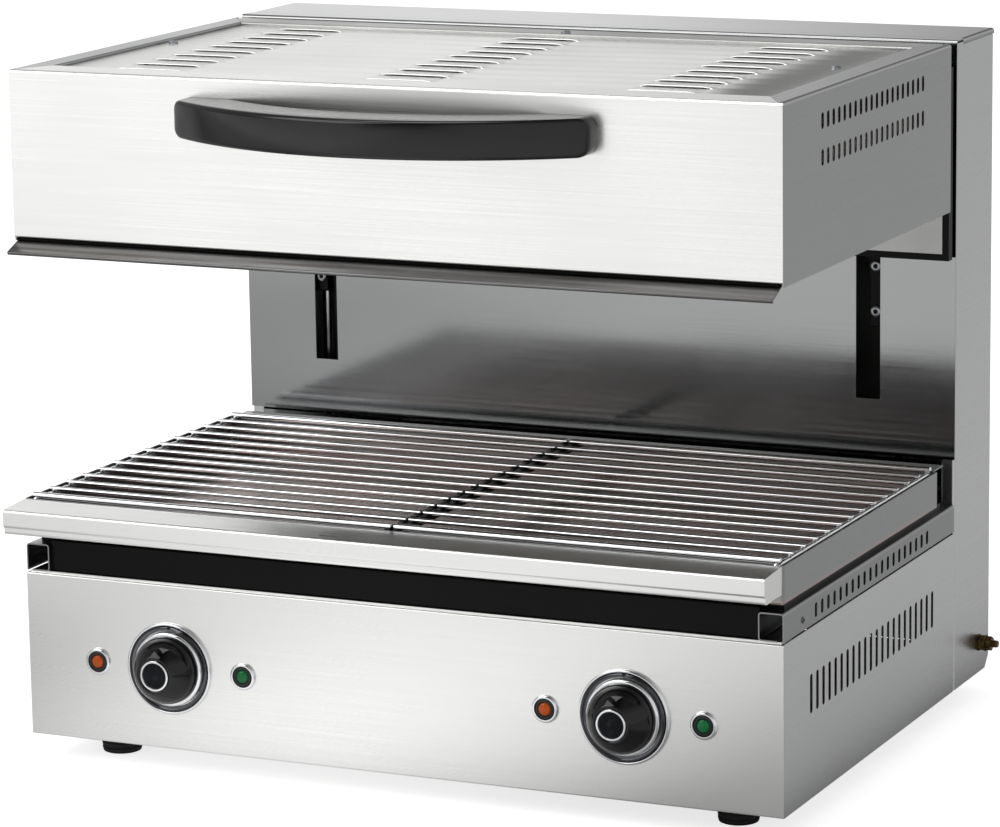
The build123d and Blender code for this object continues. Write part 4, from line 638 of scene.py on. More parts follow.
class GRILL_OT_top_cover(bpy.types.Operator):
    """Lays the top cover with its three groups of pressed louvres"""

    bl_idname = "grill.top_cover"
    bl_label = "Top Cover"

    GROUPS, HALF_LENGTH = (-208.0, -8.0, 193.0), 28.5
    ROWS, FIRST_ROW, PITCH, DEPTH = 10, 44.0, 28.7, 8.0
    # where a louvre is cut across, as shares of its depth
    CUTS = (0.0, 0.3, 0.62, 1.0)
    # how far along a louvre, and how much of its rise, from its end to its middle
    RISES = (
        (-28.5, 0.0), (-25.5, 0.62), (-21.0, 0.95), (-15.0, 1.0),
        (15.0, 1.0), (21.0, 0.95), (25.5, 0.62), (28.5, 0.0),
    )

    def execute(self, context):
        rise = context.scene.grill_sizes.louvre_rise / MM
        low, high = span("head_top_cover")
        bm = bmesh.new()
        bmesh.ops.create_grid(bm, x_segments=1, y_segments=1, size=0.5)
        size = high - low
        bmesh.ops.scale(bm, vec=(size.x, size.y, 1), verts=bm.verts)
        middle = ((low + high) / 2).xy.to_3d()
        bmesh.ops.translate(bm, vec=middle + UP * (low.z + COVER_SHEET), verts=bm.verts)
        slice_across(bm, RIGHT, [middle + x for middle in self.GROUPS for x, _ in self.RISES])
        rows = [self.FIRST_ROW + self.PITCH * row for row in range(self.ROWS)]
        slice_across(bm, BACK, [row + self.DEPTH * cut for row in rows for cut in self.CUTS])
        rises = {
            round(middle + x, 1): share for middle in self.GROUPS for x, share in self.RISES
        }
        pressed, mouths = [], []
        for face in bm.faces:
            centre = face.calc_center_median()
            in_row = any(row < centre.y < row + self.DEPTH for row in rows)
            if in_row and any(abs(centre.x - x) < self.HALF_LENGTH for x in self.GROUPS):
                pressed.append(face)
                mouths += [
                    edge for edge in face.edges
                    if all(min(abs(vert.co.y - row) for row in rows) < 0.01 for vert in edge.verts)
                ]
        bmesh.ops.split_edges(bm, edges=list(set(mouths)))
        for vert in {vert for face in pressed for vert in face.verts}:
            row = min(rows, key=lambda row: abs(row + self.DEPTH / 2 - vert.co.y))
            share = rises.get(round(vert.co.x, 1), 0.0)
            along = (vert.co.y - row) / self.DEPTH
            vert.co.z += rise * share * max(0.0, cos(along * pi / 2)) ** 0.8
        cover = finish_piece(
            bm, "top_cover_louvred", "head", ["stainless_ground_top"],
            ["head_top_cover"], 50,
        )
        wall = cover.modifiers.new("sheet", "SOLIDIFY")
        wall.thickness, wall.offset = COVER_SHEET * MM, -1
        return {"FINISHED"}


class GRILL_OT_screws(bpy.types.Operator):
    """Seats the cross recess screws of the covers, the rail rivets and the carriage bolts"""

    bl_idname = "grill.screws"
    bl_label = "Screws"

    COVER_SCREWS, RIM_SCREW = ((-272, 198), (263, 205)), (-2, 328)
    HANDLE_X, HANDLE_Z = (-139.5, 146.5), (484, 496)
    BACK_X, BACK_Z = (-289, 289), (45, 200, 350, 500)
    RIVET_Y, RIVET_Z = 38, 152.2
    BOLT_X, BOLT_Z = (-235.5, 235.5), (310, 345)
    # a bolt's socket head, as radius and height over the carriage
    BOLT = (
        (0, -2.4), (4.0, -2.4), (4.0, -0.8), *bowed((3.9, -0.3), (3.2, 0.15), (2.6, 0.15), 4),
        (1.9, 0.15), (1.7, -0.5), (0, -0.5),
    )

    def execute(self, context):
        cover_top = span("head_top_cover")[0].z + COVER_SHEET
        bm = bmesh.new()
        for x, y in self.COVER_SCREWS:
            cross_screw(bm, (x, y, cover_top), UP, 3.6, 2.2)
        cross_screw(bm, (*self.RIM_SCREW, span("head_sides")[1].z), UP, 3.6, 2.2)
        for x in self.HANDLE_X:
            for z in self.HANDLE_Z:
                cross_screw(bm, (x, 1.0, z), BACK, 4.4, 2.6)
        finish_piece(
            bm, "head_screws_cross", "head", ["zinc_plate"], ["head_screws"]
        )

        bm = bmesh.new()
        rear = span("column_back_cover")[1].y
        for x in self.BACK_X:
            for z in self.BACK_Z:
                cross_screw(bm, (x, rear, z), BACK, 3.5, 2.2)
        finish_piece(
            bm, "back_cover_screws_cross", "cabinet", ["zinc_plate"],
            ["back_cover_screws"],
        )

        bm = bmesh.new()
        low, high = span("side_rails")
        # the left rail is the grill's outermost face, so its rivet is filed flush there
        for x, outward, proud in ((low.x, -RIGHT, 0.02), (high.x, RIGHT, 0.8)):
            head = bowed((2.45, proud / 2), (2.0, proud), (1.3, proud), 5)
            turn(
                bm,
                [(0, -2.5), (2.5, -2.5), (2.5, proud / 8), *head, (1.2, proud / 8),
                 (0, proud / 8)],
                (x, self.RIVET_Y, self.RIVET_Z), outward, 28,
            )
        # the rivets take the lip's finish, with its painted shade
        finish_piece(bm, "rail_rivets", "cabinet", ["stainless_heat_tinted"])

        bm = bmesh.new()
        face = span("carriages")[0].y
        for x in self.BOLT_X:
            for z in self.BOLT_Z:
                turn(bm, self.BOLT, (x, face, z), -BACK, 32)
        finish_piece(bm, "carriage_bolts", "head", ["zinc_plate"])
        return {"FINISHED"}


class GRILL_OT_painted_shadow_strip(bpy.types.Operator):
    """Lays a black strip of painted shadow in the wedge between the head's front panel and its lip
    """

    bl_idname = "grill.head_seal"
    bl_label = "Head Seal"

    # the wedge that the lip's slope leaves under the panel's lower edge, y and z
    SECTION, HALF_LENGTH = ((0.2, 392.35), (0.2, 394.3), (5.4, 394.3)), 297.5

    def execute(self, context):
        bm = bmesh.new()
        side = bm.faces.new([bm.verts.new((-self.HALF_LENGTH, y, z)) for y, z in self.SECTION])
        run = bmesh.ops.extrude_face_region(bm, geom=[side])
        bmesh.ops.translate(bm, vec=RIGHT * 2 * self.HALF_LENGTH, verts=new_verts(run))
        bmesh.ops.recalc_face_normals(bm, faces=bm.faces)
        soften(bm, 0.25)
        finish_piece(bm, "head_seal", "head", ["seal_black"])
        return {"FINISHED"}


class GRILL_OT_handle(bpy.types.Operator):
    """Moulds the bow handle of the head"""

    bl_idname = "grill.handle"
    bl_label = "Handle"

    FRONT_R, REAR_R, THICK, END_R, REAR_ROUND = 255.0, 236.0, 36.0, 8.0, 1.5
    STATIONS, CORNER_STEPS = 96, 5

    def execute(self, context):
        sizes = context.scene.grill_sizes
        corner, edge_round = sizes.handle_corner / MM, sizes.handle_round / MM
        low, high = span("handle")
        middle, half = (low + high) / 2, (high.x - low.x) / 2
        front_middle, rear_middle = self.FRONT_R + low.y, self.REAR_R + low.y + self.THICK
        # the upright corner touches the end and the front bow
        corner_x = half - corner
        corner_y = front_middle - sqrt((self.FRONT_R - corner) ** 2 - corner_x**2)
        corner_start = corner_x * self.FRONT_R / (self.FRONT_R - corner)

        def outline(x):
            """Front, back and half height of the bow at a distance from its middle."""
            x = min(abs(x), half)
            if x > corner_start:
                front = corner_y - sqrt(max(0.0, corner**2 - (x - corner_x) ** 2))
            else:
                front = front_middle - sqrt(self.FRONT_R**2 - x**2)
            back = min(0.0, rear_middle - sqrt(self.REAR_R**2 - x**2))
            into_end = max(0.0, x - (half - self.END_R))
            lost = self.END_R - sqrt(self.END_R**2 - into_end**2)
            return front, back, (high.z - low.z) / 2 - lost

        ring_steps = 4 * (self.CORNER_STEPS + 1)
        bm = bmesh.new()
        bmesh.ops.create_grid(bm, x_segments=self.STATIONS, y_segments=ring_steps, size=1)
        for vert in bm.verts:
            x = half * sin(vert.co.x * pi / 2)
            front, back, tall = outline(x)
            step = round((vert.co.y + 1) / 2 * ring_steps) % ring_steps
            quarter, along = divmod(step, self.CORNER_STEPS + 1)
            room = min(tall, (back - front) / 2)
            radius = min(edge_round if quarter in (0, 1) else self.REAR_ROUND, room * 0.95)
            # quarters: front and low, front and high, back and high, back and low
            centre_y = front + radius if quarter in (0, 1) else back - radius
            centre_z = middle.z + (tall - radius) * (1 if quarter in (1, 2) else -1)
            angle = (quarter + along / self.CORNER_STEPS) * pi / 2
            vert.co = (middle.x + x, centre_y - radius * sin(angle), centre_z - radius * cos(angle))
        bmesh.ops.remove_doubles(bm, verts=bm.verts, dist=0.002)
        bmesh.ops.holes_fill(bm, edges=bm.edges[:], sides=0)
        finish_piece(
            bm, "handle_bow", "head", ["phenolic_satin"], ["handle"], 50
        )
        return {"FINISHED"}


class GRILL_OT_knobs(bpy.types.Operator):
    """Turns the two heat knobs, their face discs and the dished rings behind them"""

    bl_idname = "grill.knobs"
    bl_label = "Knobs"

    X, Z, DOT_RISE = 181.0, 80.5, 30.6
    # outlines, as radius and height over the control panel: the ring is a dished band of chrome
    # darkened as a painted reflection of the black knob, with a bright rim round it
    DISH = ((28.6, 0.4), *bowed((28.8, 0.6), (31.8, 0.5), (32.6, 2.5), 8))
    RIM = (
        DISH[-1], (33.0, 2.75), (33.8, 2.7), (34.4, 2.2), (34.7, 1.5), (34.7, 0), (28.6, 0),
        DISH[0],
    )
    SKIRT = (
        (25.0, 1.8), (27.6, 1.8), (28.0, 2.2), (28.0, 3.4),
        *bowed((27.9, 3.9), (27.4, 4.9), (26.4, 5.0), 5), (25.0, 5.0), (25.0, 1.8),
    )
    BODY = (
        (3.2, 2.2), (25.6, 2.2), (25.6, 5.3), *bowed((25.3, 6.2), (25.0, 16.0), (14.6, 24.0), 14),
        *bowed((14.1, 24.35), (13.3, 24.75), (12.5, 24.6), 4), (11.9, 24.2), (11.8, 23.0),
        (3.2, 23.0), (3.2, 2.2),
    )
    DISC_RIM = (
        (11.4, 23.0), (11.4, 24.6), *bowed((11.3, 24.8), (11.0, 25.0), (10.6, 25.0), 3),
        (9.9, 24.95), (9.6, 24.3),
    )
    # the turning tool leaves rings in the black face
    DISC_FACE = (
        (9.6, 24.3), (7.9, 24.3), (7.7, 24.1), (7.1, 24.1), (6.9, 24.3), (5.0, 24.3), (4.8, 24.1),
        (4.2, 24.1), (4.0, 24.3), (1.6, 24.3), (1.2, 24.5), (0, 24.5),
    )
    # piece, slot, finishes, the node it stands for, steps, and an outline for each finish
    PARTS = (
        ("skirt", "bright_ring", ("chrome_plate",), "knob", 96, (SKIRT,)),
        ("body", "knob_plastic", ("phenolic_gloss",), "knob", 96, (BODY,)),
        ("disc", "bright_ring", ("chrome_plate", "disc_anodised_black"), "knob_cap", 72,
         (DISC_RIM, DISC_FACE)),
    )

    def execute(self, context):
        dot = context.scene.grill_sizes.index_dot / MM
        rings, dots = bmesh.new(), bmesh.new()
        for side, word in ((-1, "left"), (1, "right")):
            centre = Vector((side * self.X, 0, self.Z))
            turn(rings, self.DISH, centre, -BACK, 96, 1)
            turn(rings, self.RIM, centre, -BACK, 96)
            turn(
                dots, [(dot, 0.7), *bowed((dot, 1.2), (dot, 1.7), (0, 1.75), 5)],
                centre + UP * self.DOT_RISE, -BACK, 20,
            )
            for part, slot, finishes, node, steps, outlines in self.PARTS:
                bm = bmesh.new()
                for index, outline in enumerate(outlines):
                    turn(bm, outline, centre, -BACK, steps, index)
                finish_piece(
                    bm, f"knob_{part}_{word}", f"{word}_knob", finishes,
                    [f"{node}_{word}"],
                )
        finish_piece(
            rings, "knob_rings", "cabinet", ["chrome_plate", "black_chrome"],
            ["knob_bezels"],
        )
        finish_piece(dots, "knob_index_dots", "cabinet", ["phenolic_gloss"])
        return {"FINISHED"}


class GRILL_OT_lamps(bpy.types.Operator):
    """Turns the rings, collars and lenses of the four lamps"""

    bl_idname = "grill.lamps"
    bl_label = "Lamps"

    OUTER_X, INNER_X, Z = 241.0, 120.4, 80.2
    # outlines, as radius and height over the control panel
    RING = (
        (7.6, 0), (7.6, 1.5), (8.0, 2.1), (8.8, 2.2), (9.6, 1.9), (10.1, 1.2), (10.3, 0.5),
        (10.3, 0), (7.6, 0),
    )
    COLLAR = (
        (4.9, -16), (4.9, 1.4), (5.3, 1.9), (6.4, 2.0), (7.2, 1.6), (7.55, 0.9), (7.55, 0),
        (6.8, 0), (6.8, -14), (4.9, -16),
    )
    LENS = ((0, -15.8), (4.8, -15.8), (4.8, 1.2), *bowed((4.7, 1.9), (3.9, 3.15), (0, 3.2), 7))

    def execute(self, context):
        rings, collars = bmesh.new(), bmesh.new()
        lenses = {"amber": bmesh.new(), "green": bmesh.new()}
        for x, word in (
            (-self.OUTER_X, "amber"), (-self.INNER_X, "green"),
            (self.INNER_X, "amber"), (self.OUTER_X, "green"),
        ):
            centre = (x, 0, self.Z)
            turn(rings, self.RING, centre, -BACK, 64)
            turn(collars, self.COLLAR, centre, -BACK)
            turn(lenses[word], self.LENS, centre, -BACK)
        finish_piece(
            rings, "lamp_rings", "cabinet", ["chrome_plate"], ["lamp_bezels"]
        )
        finish_piece(
            collars, "lamp_collars", "cabinet", ["nylon_black"], ["lamp_bezels"]
        )
        for word, bm in lenses.items():
            finish_piece(
                bm, f"lamp_lenses_{word}", "cabinet",
                [f"polycarbonate_{word}"], [f"{word}_lenses"],
            )
        return {"FINISHED"}


class GRILL_OT_racks(bpy.types.Operator):
    """Welds the two wire racks: rods across, on a black bar inside and a wire outside"""

    bl_idname = "grill.racks"
    bl_label = "Racks"

    RODS, FIRST_Y, LAST_Y, ROD_Z, WIRE_Z = 14, 7.0, 320.5, 200.6, 196.6
    ROD_R, WIRE_R, OUTER_INSET, BAR_WIDTH, WELD_DEPTH = 1.7, 2.5, 3.0, 5.2, 0.4
    # half the length, width and height of the bead that resistance welding leaves
    BEAD = (2.2, 2.4, 0.9)

    def wire(self, bm, start, end, radius):
        """A straight wire with rounded ends."""
        start, end = Vector(start), Vector(end)
        length = (end - start).length
        outline = [
            (0, 0.0), (radius * 0.6, 0.0), (radius, 0.7), (radius, length - 0.7),
            (radius * 0.6, length), (0, length),
        ]
        turn(bm, outline, start, end - start, 14)

    def execute(self, context):
        pitch = (self.LAST_Y - self.FIRST_Y) / (self.RODS - 1)
        ys = [self.FIRST_Y + pitch * rod for rod in range(self.RODS)]
        for side, word in ((-1, "left"), (1, "right")):
            low, high = span(f"rack_{word}")
            inner, outer = (high.x, low.x) if side < 0 else (low.x, high.x)
            bm = bmesh.new()
            for y in ys:
                radius = self.WIRE_R if y in (ys[0], ys[-1]) else self.ROD_R
                self.wire(bm, (inner, y, self.ROD_Z), (outer, y, self.ROD_Z), radius)
            wire_x = outer - side * self.OUTER_INSET
            self.wire(bm, (wire_x, low.y, self.WIRE_Z), (wire_x, high.y, self.WIRE_Z), self.WIRE_R)
            finish_piece(
                bm, f"rack_wires_{word}", f"{word}_rack", ["chrome_plate"],
                [f"rack_{word}"],
            )
            bar = bmesh.new()
            bmesh.ops.create_cube(bar, size=1)
            top = self.ROD_Z - self.ROD_R + self.WELD_DEPTH
            size = (self.BAR_WIDTH, high.y - low.y, top - low.z)
            bmesh.ops.scale(bar, vec=size, verts=bar.verts)
            middle = Vector(
                (inner + side * self.BAR_WIDTH / 2, (low.y + high.y) / 2, (low.z + top) / 2)
            )
            bmesh.ops.translate(bar, vec=middle, verts=bar.verts)
            soften(bar, 0.7, 30, 3)
            for y in ys:
                bead = bmesh.new()
                bmesh.ops.create_icosphere(bead, subdivisions=1, radius=1)
                bmesh.ops.scale(bead, vec=self.BEAD, verts=bead.verts)
                join(bar, bead, Matrix.Translation((middle.x, y, top)))
            finish_piece(
                bar, f"rack_bar_{word}", f"{word}_rack", ["black_stove_enamel"],
                [f"rack_{word}"],
            )
        return {"FINISHED"}


class GRILL_OT_ropes(bpy.types.Operator):
    """Hangs the ropes of the head and of the weight"""

    bl_idname = "grill.ropes"
    bl_label = "Ropes"

    RADIUS, Y, RINGS = 1.5, 412.0, 28
    # node, how far its two ropes hang from the middle, and the body that they lift
    RUNS = (("head_ropes", 239.0, "head"), ("weight_ropes", 189.0, "weight"))

    def execute(self, context):
        for node, x, body in self.RUNS:
            low, high = span(node)
            length = high.z - low.z
            rings = [(self.RADIUS, length * ring / self.RINGS) for ring in range(self.RINGS + 1)]
            bm = bmesh.new()
            for centre_x in (-x, x):
                turn(bm, [(0, 0), *rings, (0, length)], (centre_x, self.Y, low.z), UP, 12)
            rope = finish_piece(bm, f"{node}_hung", None, ["wire_rope"], [node])
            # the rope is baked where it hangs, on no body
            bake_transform(rope)
        return {"FINISHED"}


class GRILL_OT_feet(bpy.types.Operator):
    """Moulds the four ribbed rubber feet"""

    bl_idname = "grill.feet"
    bl_label = "Feet"

    X, Y, GROOVES = (-249, 249), (45, 415), (4.5, 8.5, 12.5)

    def execute(self, context):
        bm = bmesh.new()
        top = span("feet")[1].z
        grooves = []
        for height in self.GROOVES:
            far = 14.6 + height * 0.087
            grooves += [
                (far, height - 0.9), (far - 0.8, height - 0.5), (far - 0.8, height + 0.5),
                (far, height + 0.9),
            ]
        outline = [
            (3.1, 8), (6.0, 8), (6.0, 0.6), (6.6, 0), (13.3, 0), (14.2, 0.4), (14.6, 1.3),
            *grooves, (16.1, top), (3.1, top), (3.1, 8),
        ]
        for x in self.X:
            for y in self.Y:
                turn(bm, outline, (x, y, 0), UP, 40)
        finish_piece(bm, "feet_ribbed", "cabinet", ["rubber_black"], ["feet"])
        return {"FINISHED"}


class GRILL_OT_earth_stud(bpy.types.Operator):
    """Cuts the earth stud's thread and seats its nuts and washers"""

    bl_idname = "grill.earth_stud"
    bl_label = "Earth Stud"

    Y, Z, RADIUS, WALL, PITCH = 424.0, 43.0, 3.0, 300.0, 1.0
    # place from the wall, thickness and corner radius of each nut, and place of each washer
    NUTS, WASHERS = ((-7, 5, 5.8), (1, 4.5, 6.2), (6.5, 4.5, 5.8)), (0, 5.5)
    WASHER = (
        (2.6, 0), (6.3, 0), (6.6, 0.25), (6.6, 0.8), (6.3, 1.0), (2.6, 1.0), (2.6, 0),
    )

    def execute(self, context):
        low, high = span("earth_stud")
        bm = bmesh.new()

        def at(x):
            """A place on the stud's axis."""
            return x, self.Y, self.Z

        for x, thickness, radius in self.NUTS:
            hex_nut(bm, at(self.WALL + x), RIGHT, radius, thickness, self.RADIUS * 0.9)
        for x in self.WASHERS:
            turn(bm, self.WASHER, at(self.WALL + x), RIGHT, 40)
        # plain up to the outer nut, then its thread, and a chamfered end
        start = self.WALL + 9
        plain, cut = start - low.x, high.x - start
        turn(bm, [(0, 0), (2.9, 0), (2.9, plain), (0, plain)], at(low.x), RIGHT, 32)
        threads(bm, at(start - 0.5), RIGHT, self.RADIUS, cut, self.PITCH)
        core = [(0, 0), (2.55, 0), (2.55, cut - 0.7), (2.1, cut), (0, cut)]
        turn(bm, core, at(start), RIGHT, 32)
        finish_piece(
            bm, "earth_stud_threaded", "cabinet", ["brass_turned"], ["earth_stud"], 30
        )
        return {"FINISHED"}


class GRILL_OT_cable_gland(bpy.types.Operator):
    """Moulds the cable gland low on the back"""

    bl_idname = "grill.cable_gland"
    bl_label = "Cable Gland"

    X, Z, RIBS, RIB_R, COLLAR = -225.0, 62.0, 16, 11.9, 7

    def execute(self, context):
        rear = span("column_back_cover")[1].y
        reach = span("cable_gland")[1].y - rear
        centre = Vector((self.X, rear, self.Z))
        bm = bmesh.new()
        hex_nut(bm, centre, BACK, 14.5, 7, 6.5)
        hex_nut(bm, centre - BACK * 7, BACK, 14, 5, 9.0)
        cap = bowed((12, reach - 3.5), (11.8, reach), (8.2, reach), 5)
        turn(
            bm,
            [(6.5, -11), (9.9, -11), (9.9, 7), (12, 7), (12, reach - 4), *cap,
             (7.2, reach - 0.3), (6.5, reach - 1.2), (6.5, -11)],
            centre, BACK, 64,
        )
        # grip ribs round the cap
        length = reach - 12
        for rib in range(self.RIBS):
            angle = 2 * pi * rib / self.RIBS
            bar = bmesh.new()
            bmesh.ops.create_cube(bar, size=1)
            bmesh.ops.scale(bar, vec=(1.6, 1.2, length), verts=bar.verts)
            soften(bar, 0.35)
            out = Vector((cos(angle) * self.RIB_R, 0, sin(angle) * self.RIB_R))
            place = Matrix.Translation(centre + out + BACK * (self.COLLAR + length / 2 + 0.5))
            around = Matrix.Rotation(-angle, 4, "Y") @ Matrix.Rotation(-pi / 2, 4, "X")
            join(bm, bar, place @ around)
        finish_piece(
            bm, "cable_gland_ribbed", "cabinet", ["nylon_black"],
            ["cable_gland"],
        )
        return {"FINISHED"}


class GRILL_OT_studio(bpy.types.Operator):
    """Sets the pale floor, the soft light and the camera"""

    bl_idname = "grill.studio"
    bl_label = "Studio"

    FLOOR_HALF, POOL, CEILING = 30.0, (-0.14, -0.42), 0.35
    # how the floor's glow runs along X or Y: from a place to a place, from a value to a value
    FALLS = (
        ("X", -1.2, -0.5, 1.0, 0.7), ("Y", -0.95, -0.45, 1.0, 0.03),
        ("X", -0.95, -0.55, 0.4, 1.0), ("Y", -1.7, -1.4, 1.0, 0.0),
        ("X", 0.3, 0.36, 0.0, 0.34), ("X", -0.5, -0.35, 0.45, 0.0), ("Y", -0.4, -0.1, 0.0, 1.0),
    )
    # the camera as the photograph's straight edges and vanishing lines give it
    SENSOR, LENS, FAR_CLIP = 36.0, 158.1, 200
    CAMERA_PLACE = (1.33732, -2.93625, 0.90556)
    AZIMUTH, ELEVATION, ROLL = radians(24.678), radians(11.544), radians(-0.8541)
    # place, what it aims at and edge length of each soft box
    KEY_LAMP = ((-2.0, -2.6, 2.6), (0, 0, 0.25), 2.4)
    TOP_LAMP = ((-0.5, -0.6, 3.2), (0, 0, 0.3), 1.4)

    def seen_by_camera(self, tree, paths):
        """1 for what the camera sees straight or through a lens, and 0 for light."""
        rays = (paths["Is Camera Ray"], paths["Is Transmission Ray"])
        return add_node(tree, "Math", rays, operation="MAXIMUM")[0]

    def pool(self, tree, place):
        """How brightly metal sees the sweep glow: white far in front, with a pool of light
        close to the grill, a little at its right, and some behind it at the far left."""
        parts = add_node(tree, "SeparateXYZ", (place,))
        across, ahead, close_left, far_off, beside, outer_left, rear = (
            add_node(tree, "MapRange", (parts[axis], *fall))[0] for axis, *fall in self.FALLS
        )
        left = add_node(tree, "Math", (close_left, far_off), operation="MAXIMUM")[0]
        around = add_node(tree, "Math", (across, ahead), operation="MULTIPLY")[0]
        around = add_node(tree, "Math", (around, left), operation="MULTIPLY")[0]
        around = add_node(tree, "Math", (around, beside), operation="MAXIMUM")[0]
        behind = add_node(tree, "Math", (outer_left, rear), operation="MULTIPLY")[0]
        around = add_node(tree, "Math", (around, behind), operation="MAXIMUM")[0]
        middle = (place, (*self.POOL, 0.0))
        near = add_node(tree, "VectorMath", middle, operation="DISTANCE")["Value"]
        lit = add_node(tree, "MapRange", (near, 0.1, 0.36, 0.85, 0.0))[0]
        return add_node(tree, "Math", (around, lit))[0]

    def lay_floor(self):
        """A pale sweep that shows white and keeps the grill's shadow."""
        bm = bmesh.new()
        bmesh.ops.create_grid(bm, x_segments=1, y_segments=1, size=self.FLOOR_HALF)
        mesh = bpy.data.meshes.new("floor")
        bm.to_mesh(mesh)
        bm.free()
        floor = bpy.data.objects.new("floor", mesh)
        bpy.context.scene.collection.objects.link(floor)
        material, tree = blank("paper_sweep")
        place = add_node(tree, "TexCoord")["Object"]
        paths = add_node(tree, "LightPath")
        glossy = paths["Is Glossy Ray"]
        # a fine tooth in the paper, and a darker tone where metal mirrors it
        fleck = add_node(tree, "TexNoise", {"Vector": place, "Scale": 25.0})["Fac"]
        fleck = add_node(tree, "MapRange", (fleck, *NOISE_RANGE, 0.86, 0.9))[0]
        tooth = add_node(tree, "MapRange", (glossy, 0, 1, fleck, 0.42))[0]
        seen = add_node(tree, "MapRange", (self.seen_by_camera(tree, paths), 0, 1, 0.0, 0.75))[0]
        strength = add_node(tree, "MapRange", (glossy, 0, 1, seen, self.pool(tree, place)))[0]
        tone = add_node(tree, "CombineColor", (tooth, tooth, tooth))[0]
        paper = add_node(tree, "BsdfDiffuse", {"Color": tone})
        glow = add_node(tree, "Emission", {"Color": (1, 1, 1, 1), "Strength": strength})
        both = add_node(tree, "AddShader", (paper[0], glow[0]))
        add_node(tree, "OutputMaterial", {"Surface": both[0]})
        mesh.materials.append(material)

    def light_world(self, studio):
        """White where it is seen, and an even fill where it lights. Metal shows the white at
        the key lamp's side, and it falls off towards the far side as in a real studio."""
        world = bpy.data.worlds.new("studio")
        bpy.context.scene.world = world
        world.use_nodes = True
        tree = world.node_tree
        tree.nodes.clear()
        parts = add_node(tree, "SeparateXYZ", (add_node(tree, "TexCoord")["Generated"],))
        far = add_node(tree, "MapRange", (parts["X"], -0.4, -0.27, 1.0, studio.far_side))[0]
        flag = add_node(tree, "MapRange", (parts["X"], -0.85, -0.65, 0.5, 1.0))[0]
        right = add_node(tree, "MapRange", (parts["X"], 0.0, 0.3, studio.far_side, 0.8))[0]
        overhead = add_node(tree, "MapRange", (parts["Z"], 0.45, 0.75, 1.0, self.CEILING))[0]
        side = add_node(tree, "Math", (far, right), operation="MAXIMUM")[0]
        side = add_node(tree, "Math", (side, flag), operation="MINIMUM")[0]
        background = add_node(tree, "Math", (side, overhead), operation="MULTIPLY")[0]
        paths = add_node(tree, "LightPath")
        mirrored = (paths["Is Glossy Ray"], 0, 1, studio.fill, background)
        in_metal = add_node(tree, "MapRange", mirrored)[0]
        seen = (self.seen_by_camera(tree, paths), 0, 1, in_metal, 1.0)
        strength = add_node(tree, "MapRange", seen)[0]
        glow = add_node(tree, "Background", {"Color": (1, 1, 1, 1), "Strength": strength})
        add_node(tree, "OutputWorld", {"Surface": glow[0]})

    def hang_lamp(self, name, power, place, aim, size):
        """A square soft box."""
        lamp = bpy.data.lights.new(name, "AREA")
        lamp.shape, lamp.size, lamp.energy = "SQUARE", size, power
        box = bpy.data.objects.new(name, lamp)
        bpy.context.scene.collection.objects.link(box)
        facing = (Vector(aim) - Vector(place)).to_track_quat("-Z", "Y").to_matrix().to_4x4()
        box.matrix_world = Matrix.Translation(place) @ facing

    def place_camera(self, scene):
        """The camera, level with its roll."""
        camera = bpy.data.cameras.new("camera")
        camera.sensor_width, camera.lens, camera.clip_end = self.SENSOR, self.LENS, self.FAR_CLIP
        holder = bpy.data.objects.new("camera", camera)
        scene.collection.objects.link(holder)
        azimuth, elevation, roll = self.AZIMUTH, self.ELEVATION, self.ROLL
        behind = Vector(
            (sin(azimuth) * cos(elevation), -cos(azimuth) * cos(elevation), sin(elevation))
        )
        level = Vector((cos(azimuth), sin(azimuth), 0))
        upright = behind.cross(level)
        right = level * cos(roll) + upright * sin(roll)
        up = upright * cos(roll) - level * sin(roll)
        turned = Matrix((right, up, behind)).transposed().to_4x4()
        holder.matrix_world = Matrix.Translation(self.CAMERA_PLACE) @ turned
        scene.camera = holder

    def execute(self, context):
        scene, studio = context.scene, context.scene.grill_studio
        scene.view_settings.view_transform = "Standard"
        self.lay_floor()
        self.light_world(studio)
        self.hang_lamp("key_lamp", studio.key_power, *self.KEY_LAMP)
        self.hang_lamp("top_lamp", studio.top_power, *self.TOP_LAMP)
        self.place_camera(scene)
        return {"FINISHED"}


PIECE_OPERATORS = (
    GRILL_OT_finishes, GRILL_OT_top_cover, GRILL_OT_screws, GRILL_OT_painted_shadow_strip,
    GRILL_OT_handle, GRILL_OT_knobs, GRILL_OT_lamps, GRILL_OT_racks, GRILL_OT_ropes,
    GRILL_OT_feet, GRILL_OT_earth_stud, GRILL_OT_cable_gland, GRILL_OT_studio,
)


class GRILL_PT_sidebar(bpy.types.Panel):
    """The sizes and colours of the grill, and the pieces that they make"""

    bl_idname = "GRILL_PT_sidebar"
    bl_label = "Lift Salamander Grill"
    bl_space_type = "VIEW_3D"
    bl_region_type = "UI"
    bl_category = "Grill"

    def draw(self, context):
        layout, scene = self.layout, context.scene
        for settings in (scene.grill_sizes, scene.grill_colours, scene.grill_studio):
            box = layout.box()
            for name in settings.bl_rna.properties.keys():
                if name not in ("rna_type", "name"):
                    box.prop(settings, name)
        for operator in PIECE_OPERATORS:
            layout.operator(operator.bl_idname)


CLASSES = (GrillSizes, GrillColours, GrillStudio, *PIECE_OPERATORS, GRILL_PT_sidebar)


def register():
    for cls in CLASSES:
        bpy.utils.register_class(cls)
    bpy.types.Scene.grill_sizes = bpy.props.PointerProperty(type=GrillSizes)
    bpy.types.Scene.grill_colours = bpy.props.PointerProperty(type=GrillColours)
    bpy.types.Scene.grill_studio = bpy.props.PointerProperty(type=GrillStudio)


def unregister():
    del bpy.types.Scene.grill_studio, bpy.types.Scene.grill_colours, bpy.types.Scene.grill_sizes
    for cls in reversed(CLASSES):
        bpy.utils.unregister_class(cls)


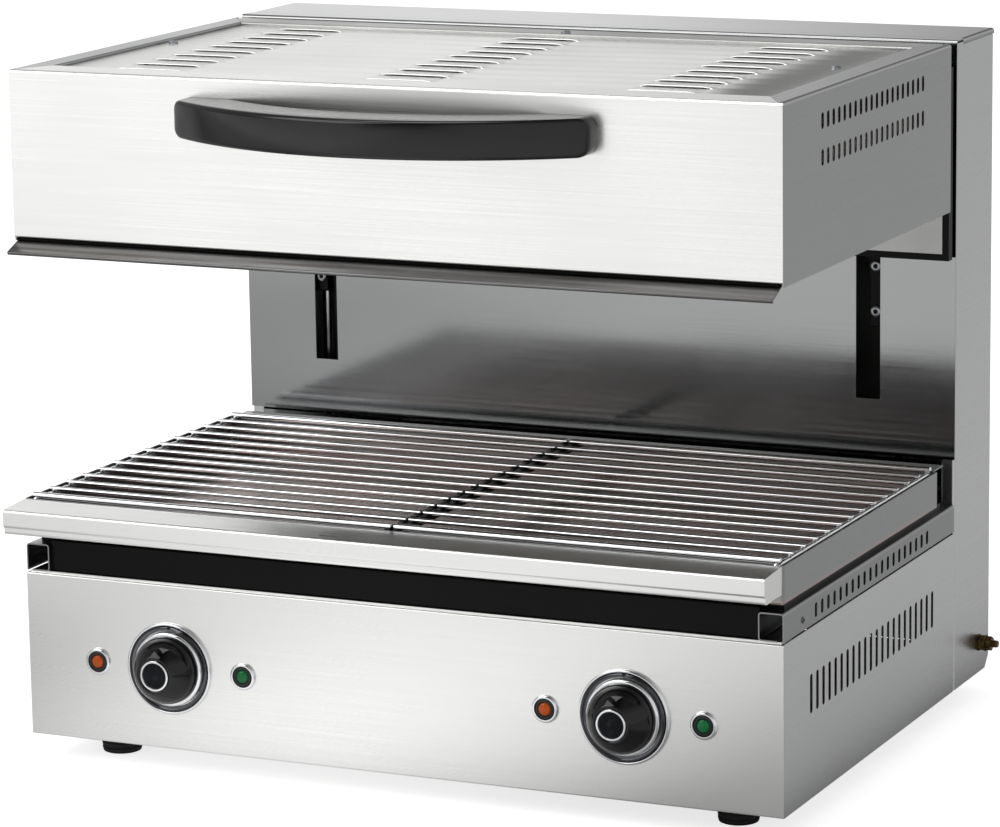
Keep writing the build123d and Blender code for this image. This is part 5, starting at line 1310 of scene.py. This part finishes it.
def main():
    register()
    bpy.ops.grill.finishes()
    bpy.ops.grill.top_cover()
    bpy.ops.grill.screws()
    bpy.ops.grill.head_seal()
    bpy.ops.grill.handle()
    bpy.ops.grill.knobs()
    bpy.ops.grill.lamps()
    bpy.ops.grill.racks()
    bpy.ops.grill.ropes()
    bpy.ops.grill.feet()
    bpy.ops.grill.earth_stud()
    bpy.ops.grill.cable_gland()
    bpy.ops.grill.studio()


if __name__ == "__main__":
    main()
